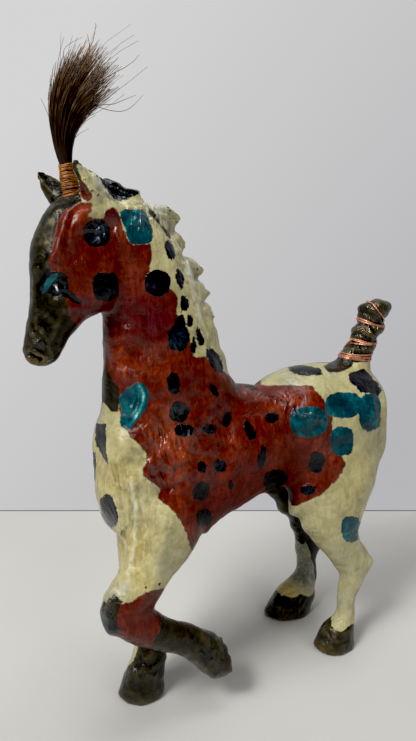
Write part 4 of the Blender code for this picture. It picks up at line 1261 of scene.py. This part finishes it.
# %% Give the horse its finish
# The height of the surface in millimetres: layers of paint, brush marks, pitted metal, folds
relief = sum_of(enamel, [(layers, 0.14), (streak, 0.18), (patchy, 0.80), (speck, 0.10), (folds, -8.4)])
normal = add(enamel, "Bump", None, {"Strength": 1.0, "Distance": MM, "Height": relief}).outputs["Normal"]
brushed = ranged(enamel, streak, 0.35, 0.70, 0.15, 0.28)
surface(enamel, {
    "Base Color": colour,
    "Roughness": sum_of(enamel, [(dull, 0.30), (crumpled, 0.12)], brushed),
    "Metallic": maths(enamel, "MULTIPLY", bareness, 0.45),
    "Specular IOR Level": sum_of(enamel, [(dull, -0.35)], 0.5),
    "Normal": normal,
    "Coat Weight": crumpled,
    "Coat Roughness": 0.13,
    "Coat Normal": normal,
})
horse.data.materials.clear()
horse.data.materials.append(enamel)
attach(horse, "root")
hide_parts("horse_body")
print("finish with", len(enamel.node_tree.nodes), "nodes")

# %% [markdown]
# ## The plume
#
# Real horse hair stands in the binding: 1,700 hairs as long as a finger. They rise straight, then fall over
# to the back, in small locks whose tips part. The hairs are laid between five guides, from the left edge of
# the tuft to its right edge as the eye sees it, and each is a thin tapered tube with four sides, which is
# as fine as a hair shows at this size.

# %% Share out the hairs
BINDING_FOOT = place(-10.6, 0, 94.9)
BINDING_WAY = Vector((-math.sin(math.radians(10)), 0, math.cos(math.radians(10))))
BINDING_LENGTH = 14.2 * MM
# Guides: right and up from the top of the binding, in millimetres
HAIR_GUIDES = np.array([
    [(-2.7, 0), (-7.6, 14), (-6.8, 30), (-4.0, 42), (-1.0, 53)],
    [(-1.6, 0), (-7.2, 15), (-4.0, 31), (3.0, 44), (8.0, 55)],
    [(0.0, 0), (-4.8, 15), (-0.5, 29), (10.0, 42), (17.5, 53)],
    [(1.6, 0), (-1.0, 13), (3.0, 25), (15.0, 34), (25.5, 45)],
    [(2.7, 0), (3.0, 12), (5.5, 20), (15.0, 22.5), (27.5, 33)],
])
DENSE_LENGTH = [0.50, 0.72, 0.88, 0.88, 0.84]  # how far along each guide the hair is dense
HAIR_DEPTH = [2.7, 5.0, 8.5, 12.0, 15.0]  # half the tuft's depth at the guides' points, in millimetres
HAIRS = 1700
LOCKS = 60
HAIR_POINTS = 10
HAIR_RADIUS = 0.152 * MM
HAIR_TAPER = 0.45  # the tip's share of the root's thickness
STRAYS = 0.02
STRAY_LONGER, LONGEST = 1.22, 1.04
TUFT_RADIUS = 2.7 * MM
STEM_SHARE = 0.75  # how wide the tuft is in the foot of the binding
GATHERED = 0.74  # how far a hair's tip draws to the middle of its lock
WAVE, SWING, UP_SWING = 2.4, 0.8, 0.5  # how far a hair wanders by its tip, in millimetres
SWING_TURN = 7.0  # radians over the hair's length
LOOSE_NEARER = 4 * MM  # how much nearer to the eye than the binding the loose hairs hang

dice = np.random.default_rng(7)
angles = dice.uniform(0, 2 * np.pi, HAIRS + LOCKS)
off_middle = np.sqrt(dice.uniform(0, 1, HAIRS + LOCKS))
across, deep = off_middle * np.cos(angles), off_middle * np.sin(angles)
lock_across, lock_deep = across[HAIRS:], deep[HAIRS:]
across, deep = across[:HAIRS], deep[:HAIRS]
own_lock = ((across[:, None] - lock_across) ** 2 + (deep[:, None] - lock_deep) ** 2).argmin(axis=1)
hair_reach = np.interp(across, np.linspace(-1, 1, 5), DENSE_LENGTH) * dice.triangular(0.45, 1.0, 1.1, HAIRS)
stray = dice.uniform(0, 1, HAIRS) < STRAYS
hair_reach = np.where(stray, np.minimum(hair_reach * STRAY_LONGER, LONGEST), hair_reach)
waves = dice.normal(0, 1, (HAIRS, 2)) * np.where(stray, 3.0, 1.0)[:, None]
bend = dice.normal(0, 1, (HAIRS, 2)) * np.where(stray, 2.0, 1.0)[:, None]
phase = dice.uniform(0, 6.3, HAIRS)
print(HAIRS, "hairs in", LOCKS, "locks,", int(stray.sum()), "of them stray")

# %% [markdown]
# Hair, thread and wire are all round tubes along lines of places, so one helper makes them.

# %% Helpers for hair, thread and wire


def between_guides(share, along):
    """Right and up positions between the guides, by a smooth curve through their control points."""
    weights = [math.comb(4, power) * along ** power * (1 - along) ** (4 - power) for power in range(5)]
    guides = np.linspace(-1, 1, 5)
    return [
        sum(weight * np.interp(share, guides, row) for weight, row in zip(weights, HAIR_GUIDES[:, :, axis].T))
        for axis in (0, 1)
    ]


def tubes(name, lines, radius, roundness, widths=None):
    """A mesh piece of closed round tubes, one along each line of places."""
    curve = bpy.data.curves.new(name, "CURVE")
    curve.dimensions = "3D"
    curve.bevel_depth = radius
    curve.bevel_resolution = roundness
    for line in lines:
        spline = curve.splines.new("POLY")
        spline.points.add(len(line) - 1)
        spline.points.foreach_set("co", np.column_stack([line, np.ones(len(line))]).ravel())
        if widths is not None:
            spline.points.foreach_set("radius", widths)
    draft = bpy.data.objects.new(name + " curve", curve)
    scene.collection.objects.link(draft)
    bpy.context.view_layer.update()
    mesh = bpy.data.meshes.new_from_object(draft.evaluated_get(bpy.context.evaluated_depsgraph_get()))
    bpy.data.objects.remove(draft)
    bm = bmesh.new()
    bm.from_mesh(mesh)
    bmesh.ops.holes_fill(bm, edges=bm.edges)
    bmesh.ops.recalc_face_normals(bm, faces=bm.faces)
    thing = mesh_piece(name, bm)
    thing.data.shade_smooth()
    return thing


print("the middle guide ends at", [round(float(part), 1) for part in between_guides(0.0, 1.0)], "mm")

# %% [markdown]
# Each hair is a row of places from the foot of the binding to its tip. The first few rows are used again
# for loose hairs, which are laid along lines on the board.

# %% Grow the hair
right_row, back_row, up_row = (np.array(way) for way in (picture_right, level_ahead, Vector((0, 0, 1))))
hair_top = np.array(BINDING_FOOT + BINDING_WAY * BINDING_LENGTH)
hair_rows = np.empty((HAIRS, HAIR_POINTS, 3))
stem = STEM_SHARE * TUFT_RADIUS * (across[:, None] * right_row + deep[:, None] * back_row)
hair_rows[:, 0] = np.array(BINDING_FOOT + BINDING_WAY * MM) + stem
for step in range(1, HAIR_POINTS):
    along = (step - 1) / (HAIR_POINTS - 2) * hair_reach
    gather = GATHERED * np.clip(along * 1.6 - 0.15, 0.0, 1.0)
    right, up = between_guides(across + (lock_across[own_lock] - across) * gather, along)
    depth = deep + (lock_deep[own_lock] - deep) * gather
    depth *= np.interp(along, np.linspace(0, 1, 5), HAIR_DEPTH)
    swing = np.sin(along * SWING_TURN + phase) * along
    right += waves[:, 0] * WAVE * along ** 2 + bend[:, 0] * SWING * swing
    up += waves[:, 1] * WAVE / 2 * along ** 2 - bend[:, 1] * UP_SWING * swing
    depth += waves[:, 1] * WAVE * along ** 2 + bend[:, 1] * SWING * swing
    rows = right[:, None] * right_row + depth[:, None] * back_row + up[:, None] * up_row
    hair_rows[:, step] = hair_top + rows * MM
# The loose hairs, from the tuft outward
LOOSE_HAIRS = [
    [(57, 99), (59, 81), (60, 65), (60.6, 45), (61, 32)], [(50.4, 127), (49, 117), (44, 105), (40.6, 98)],
    [(67, 67), (63, 55), (64.4, 48), (72, 42), (82.6, 37.4)], [(89, 49), (93, 41), (95, 31), (95.6, 23)],
    [(106, 78), (114, 73), (124, 68), (133, 62), (139, 55)],
    [(88, 103), (104, 109), (118, 112), (128, 110), (136, 103), (143, 95)],
    [(90, 106), (114, 104), (126, 99), (136, 95)], [(72, 144), (75, 138), (80, 133), (89, 128.6)],
    [(74, 137), (78, 130), (86, 121), (96, 115)], [(48, 100), (49, 90), (51, 81), (54, 73)],
    [(90, 52), (89, 41), (87, 33)], [(55, 90), (57, 76), (62, 60), (70, 50)],
]
loose_distance = (Vector(hair_top) - EYE).length - LOOSE_NEARER
for row, line in zip(hair_rows, LOOSE_HAIRS):
    for step, share in enumerate(np.linspace(0, len(line) - 1, HAIR_POINTS)):
        spot = [np.interp(share, range(len(line)), [corner[axis] for corner in line]) for axis in (0, 1)]
        row[step] = EYE + sight_line(spot) * loose_distance
hair = tubes("horse_hair_plume", hair_rows, HAIR_RADIUS, 0, np.linspace(1.0, HAIR_TAPER, HAIR_POINTS))
shape = (HAIRS, HAIR_POINTS, len(hair.data.vertices) // (HAIRS * HAIR_POINTS))
write_values(hair, "along", np.broadcast_to(np.linspace(0, 1, HAIR_POINTS)[None, :, None], shape))
write_values(hair, "tint", np.broadcast_to(dice.uniform(0, 1, HAIRS)[:, None, None], shape))
print(len(hair.data.polygons), "faces of hair, up to", round(hair_rows[:, :, 2].max() / MM), "mm high")

# %% [markdown]
# Horse hair is dark brown, and its tips are bleached to a rusty brown. A smooth hair has a fairly narrow
# shine.

# %% Make the hair's finish
strand = new_material("sun-bleached horse hair")
fleck = grain(strand, object_spot(strand), 4, 3.0)
sources = [(attribute(strand, "along"), 0.55), (attribute(strand, "tint"), 0.50), (fleck, 0.60)]
stops = [("#271f1a", 0.10), ("#2f231b", 0.36), ("#4b3626", 0.60), ("#9c7a56", 0.86)]
surface(strand, {"Base Color": shades_of(strand, sum_of(strand, sources, -0.46), stops), "Roughness": 0.42})
hair.data.materials.append(strand)
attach(hair, "root")
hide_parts("plume")
print("hair's finish with", len(strand.node_tree.nodes), "nodes")

# %% [markdown]
# ## The binding of the plume
#
# A waxed thread holds the hair. It is wound in eighteen turns, side by side but not quite evenly, and then
# in about four more that cross them round the foot. It is one long tube, so that it stays one thread.

# %% Wind the thread
THREAD_RADIUS = 0.40 * MM
THREAD_TURNS = 18
CROSSING_TURNS = 4.4
TURN_POINTS = 22
FOOT_RADIUS = 3.75 * MM
TOP_RADIUS = 3.0 * MM
CROSSING_LIFT = 0.45 * MM

side_a = BINDING_WAY.cross(Vector((0, 1, 0))).normalized()
side_b = BINDING_WAY.cross(side_a)
wound_points = THREAD_TURNS * TURN_POINTS
crossing_points = CROSSING_TURNS * TURN_POINTS
winding = [(step / wound_points, step / TURN_POINTS, 0.0) for step in range(wound_points + 1)]
# The crossing turns run down and up the lower part of the binding twice
for step in range(int(crossing_points) + 1):
    share = 0.52 + 0.48 * math.cos(step / crossing_points * 4.2 * math.pi)
    winding.append((share * 0.62, THREAD_TURNS + step / TURN_POINTS, CROSSING_LIFT))
thread_line, thread_widths = [], []
for share, turns, lift in winding:
    angle = turns * 2 * math.pi
    unsteady = noise.noise(Vector((turns * 1.3, 4.0, 0)))
    level = (0.3 * MM + share * BINDING_LENGTH) + (0.55 * unsteady + 0.25 * math.sin(angle + 0.6)) * MM
    uneven = 0.18 * MM * noise.noise(Vector((turns * 2.1, 9.0, 0)))
    radius = FOOT_RADIUS + (TOP_RADIUS - FOOT_RADIUS) * share + lift + uneven
    outward = side_a * math.cos(angle) + side_b * math.sin(angle)
    thread_line.append(BINDING_FOOT + BINDING_WAY * level + outward * radius)
    thread_widths.append(1.0 + 0.22 * noise.noise(Vector((turns * 3.0, 1.0, 0))))
thread = tubes("plume_thread", [thread_line], THREAD_RADIUS, 1, thread_widths)
print("thread of", len(thread.data.polygons), "faces")

# %% [markdown]
# The wax makes the thread copper-brown and slightly shiny. Its colour follows its relief, golden on the
# raised strands and dark between them: a painted highlight and painted shade.

# %% Make the thread's finish
waxed = new_material("waxed linen thread")
spot = object_spot(waxed)
fibre_relief_and_shade = grain(waxed, turned(waxed, spot, (0, -10, 0), (1.0, 1.0, 4.0)), 1.6, 4.0, 0.7)
# Painted highlight and shade: the tone is paler on raised strands and darker between them
tone = sum_of(waxed, [(fibre_relief_and_shade, 0.6), (grain(waxed, spot, 3.0), 0.4)])
stops = [("#401c08", 0.36), ("#925726", 0.50), ("#d09850", 0.64)]
bump = add(waxed, "Bump", None, {"Strength": 0.9, "Distance": 0.3 * MM, "Height": fibre_relief_and_shade})
inputs = {"Base Color": shades_of(waxed, tone, stops), "Roughness": 0.45, "Normal": bump.outputs["Normal"]}
surface(waxed, inputs)
thread.data.materials.append(waxed)
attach(thread, "root")
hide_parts("plume_binding")
print("thread's finish with", len(waxed.node_tree.nodes), "nodes")

# %% [markdown]
# ## The wire on the tail
#
# One length of soft copper wire is wound round the tail: a band of four turns at its root, two pairs of
# turns further up and a last turn over the tip. The wire follows the lumpy metal: each of its points is
# found by looking from outside towards the tail's middle line.

# %% Wind the wire
WIRE_RADIUS = 0.60 * MM
WIRE_POINTS = 26
# Stations: turns so far, height in shares, and how much the wire rises to the right in shares
WIRE_STATIONS = [
    (0.0, 62.9, -0.3), (1.0, 63.0, -0.5), (2.0, 63.3, -0.1), (3.0, 63.5, -0.6), (3.95, 64.0, -0.2),
    (4.38, 64.4, 0.0), (4.46, 66.4, -0.7), (4.9, 66.7, -0.8), (5.4, 66.5, -0.6), (5.9, 66.1, -0.1),
    (6.4, 66.0, -0.1), (6.9, 66.1, 0.0), (7.15, 68.5, -0.5), (7.4, 70.5, -0.9), (7.9, 70.3, -0.9),
    (8.4, 70.3, -0.6), (8.9, 70.1, -0.6), (9.1, 72.0, 0.0), (9.3, 74.5, 0.0),
]
# The last turn crosses the tip from behind and comes down its near face, along a line on the board
CROSSING_START = (367, 298.5)
CROSSING = [(368, 303), (371.5, 304), (375, 307.5), (378.5, 312), (382, 316.5), (385.5, 321)]

LOOK_FROM = 30 * MM
UNSTEADY = 0.12  # shares
CROSSING_NEARER = 6 * MM  # how much nearer to the eye the wire passes than its last wound point
EVENED = 2  # times that the wire's points are drawn towards their neighbours
tail_heights = [spot.z / SHARE for spot in TAIL_LINE]
turns_listed, levels, tilts = zip(*WIRE_STATIONS)
tail_top = Vector(max(places[part["tail"]], key=lambda spot: spot[2]))
wire_line = []
for step in range(int(turns_listed[-1] * WIRE_POINTS) + 1):
    turns = step / WIRE_POINTS
    level = np.interp(turns, turns_listed, levels)
    tilt = np.interp(turns, turns_listed, tilts)
    angle = turns * 2 * math.pi
    outward = Vector((math.cos(angle), math.sin(angle), 0))
    level += tilt * outward.dot(picture_right) + UNSTEADY * noise.noise(Vector((turns * 2, 0, 3)))
    middle = Vector([np.interp(level, tail_heights, [spot[axis] for spot in TAIL_LINE]) for axis in range(3)])
    middle.z = level * SHARE
    hit = skin.ray_cast(middle + outward * LOOK_FROM, -outward)[0]
    lift = WIRE_RADIUS * (0.8 + 0.6 * abs(noise.noise(Vector((turns * 1.7, 5, 0)))))
    wire_line.append(hit + outward * lift if hit else tail_top + Vector((0, 0, lift)))
away = (wire_line[-1] - EYE).length - CROSSING_NEARER
over_tip = [wire_line[-1], EYE + sight_line(CROSSING_START) * away]
over_tip += [skin.ray_cast(EYE, sight_line(spot))[0] or EYE + sight_line(spot) * away for spot in CROSSING]
for start, end in zip(over_tip, over_tip[1:]):
    for step in range(1, 5):
        hit, normal, _, _ = skin.find_nearest(start.lerp(end, step / 4))
        wire_line.append(hit + normal * WIRE_RADIUS * 0.9)
for _ in range(EVENED):
    wire_line[1:-1] = [(a + 2 * b + c) / 4 for a, b, c in zip(wire_line, wire_line[1:], wire_line[2:])]
wire = tubes("tail_wire", [wire_line], WIRE_RADIUS, 1)
print("wire of", len(wire.data.polygons), "faces")

# %% [markdown]
# Old copper wire is dull and pinkish brown, with tarnish in patches.

# %% Make the wire's finish
copper = new_material("dulled copper wire")
tarnish = grain(copper, object_spot(copper), 3.0, 5.0, 0.7)
stops = [("#7a4c33", 0.36), ("#cc9070", 0.52), ("#e8b795", 0.68)]
rough = ranged(copper, tarnish, 0.3, 0.7, 0.50, 0.32)
surface(copper, {"Base Color": shades_of(copper, tarnish, stops), "Metallic": 0.6, "Roughness": rough})
wire.data.materials.append(copper)
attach(wire, "root")
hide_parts("tail_binding")
print("wire's finish with", len(copper.node_tree.nodes), "nodes")

# %% [markdown]
# ## The stage
#
# The horse stands on a pale board in front of a pale wall. The board ends where the wall would stand, and
# the sky stands for the wall, so that nothing hides the horse when it is looked at from behind. The room
# behind the camera is dim, which keeps the glossy dark paint dark, but what the eye itself sees behind the
# horse is pale all round. A white melamine board has a smooth satin face that takes soft shadows.

# %% Lay the floor
SEAM_POINTS = 139.5  # how far below the picture's middle the floor meets the wall
WALL_FROM_EYE = EYE.z / math.tan(TILT + math.atan(SEAM_POINTS / FOCAL_POINTS))
FLOOR_HALF_WIDTH = 2.0
FLOOR_DEPTH = 3.0
FLOOR_SINK = 0.2 * MM  # so that floor and soles don't lie in one plane

seam = Vector((EYE.x, EYE.y, 0)) + level_ahead * WALL_FROM_EYE
bm = bmesh.new()
bmesh.ops.create_grid(bm, x_segments=1, y_segments=1, size=1.0)
bmesh.ops.scale(bm, vec=(FLOOR_HALF_WIDTH, FLOOR_DEPTH / 2, 1), verts=bm.verts)
bmesh.ops.translate(bm, vec=(0, -FLOOR_DEPTH / 2, 0), verts=bm.verts)
bmesh.ops.rotate(bm, cent=(0, 0, 0), matrix=Matrix.Rotation(-TURN, 3, "Z"), verts=bm.verts)
bmesh.ops.translate(bm, vec=(seam.x, seam.y, -FLOOR_SINK), verts=bm.verts)
floor = mesh_piece("floor", bm)
melamine = new_material("white melamine board")
board_spot = object_spot(melamine)
cloud = add(melamine, "TexNoise", None, {"Vector": board_spot, "Scale": 6.0, "Detail": 2.0}).outputs["Fac"]
near_shade = shades_of(melamine, cloud, [("#a6a5a0", 0.3), ("#adaca7", 0.7)])
far_shade = shades_of(melamine, cloud, [("#cfcec9", 0.3), ("#d5d4d0", 0.7)])
# The board is painted paler over the last half metre before the wall, a painted fall-off of the lamps'
# light, and a dark gap shows where the wall starts
ahead_on_board = along_way(melamine, board_spot, level_ahead)
seam_ahead = seam.dot(level_ahead)
painted_light_falloff = ranged(melamine, ahead_on_board, seam_ahead - 0.50, seam_ahead - 0.02)
gap = ranged(melamine, ahead_on_board, seam_ahead - 2.5 * MM, seam_ahead - 1.5 * MM)
shade = mixed(melamine, gap, mixed(melamine, painted_light_falloff, near_shade, far_shade), paint("#5c5c5c"))
surface(melamine, {"Base Color": shade, "Roughness": 0.5})
floor.data.materials.append(melamine)
floor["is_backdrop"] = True
print("wall", round(WALL_FROM_EYE, 3), "m from the eye")

# %% [markdown]
# The room is brightest towards the wall and darker on the right. What the eye sees directly is a little
# brighter than what lights the horse.

# %% Light the room
world = bpy.data.worlds.new("pale room")
scene.world = world
world.use_nodes = True
world.node_tree.nodes.clear()
direction = add(world, "TexCoord").outputs["Generated"]
wall_share = ranged(world, along_way(world, direction, level_ahead), -0.1, 0.7, soft=True)
sideways = along_way(world, direction, picture_right * 0.9 - Vector((0, 0, 0.7)))
side_share = ranged(world, sideways, -0.35, 0.45)
wall = mixed(world, side_share, paint("#d6d5d5"), paint("#b7b7ba"))
wall_light = mixed(world, side_share, paint("#bcbbbb"), paint("#9c9c9f"))
room = mixed(world, wall_share, paint("#343436"), wall_light)
seen = mixed(world, add(world, "LightPath").outputs["Is Camera Ray"], room, wall)
sky = add(world, "Background", None, {"Color": seen, "Strength": 1.0})
add(world, "OutputWorld", None, {"Surface": sky.outputs["Background"]})
print("room lit with", len(world.node_tree.nodes), "nodes")

# %% [markdown]
# Two windows and a ceiling lamp give the paint its small bright glints. A large soft lamp fills the shadows
# and isn't seen in reflections.

# %% Set up the lamps
HORSE_MIDDLE = place(18, 0, 50)
LAMPS = [
    # name, across, ahead and up from the horse's middle in metres, size in metres, watts, seen in reflections
    ("window", -0.60, -0.60, 0.90, 0.42, 8.0, True),
    ("ceiling", 0.10, 0.00, 1.20, 0.50, 5.0, True),
    ("small window", -0.50, -0.70, 0.85, 0.24, 6.5, True),
    ("soft fill", 0.70, -0.80, 0.45, 0.80, 4.5, False),
]
for name, across, forward, up, size, watts, mirrored in LAMPS:
    lamp_data = bpy.data.lights.new(name, "AREA")
    lamp_data.shape = "SQUARE"
    lamp_data.size = size
    lamp_data.energy = watts
    lamp = bpy.data.objects.new(name, lamp_data)
    lamp.location = HORSE_MIDDLE + picture_right * across + level_ahead * forward + Vector((0, 0, up))
    lamp.rotation_euler = (HORSE_MIDDLE - lamp.location).to_track_quat("-Z", "Y").to_euler()
    lamp.visible_glossy = mirrored
    scene.collection.objects.link(lamp)
# A camera deepens the blacks that the haze of soft light would lift
BLACK_LEVEL = 0.013
scene.view_settings.view_transform = "Standard"
scene.view_settings.use_curve_mapping = True
scene.view_settings.curve_mapping.black_level = (BLACK_LEVEL,) * 3
scene.view_settings.curve_mapping.update()
print(len(LAMPS), "lamps of", sum(lamp[5] for lamp in LAMPS), "watts")

# %% [markdown]
# ## Compare the size
#
# The dressed horse has to keep the imported model's size, so its box is measured again and how far it
# grew past the imported box is printed.

# %% Compare the sizes
low_corner, high_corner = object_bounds()
grown_low = [round((cad - own) / MM, 1) for cad, own in zip(cad_low, low_corner)]
grown_high = [round((own - cad) / MM, 1) for cad, own in zip(cad_high, high_corner)]
print("grown by", grown_low, grown_high, "mm")
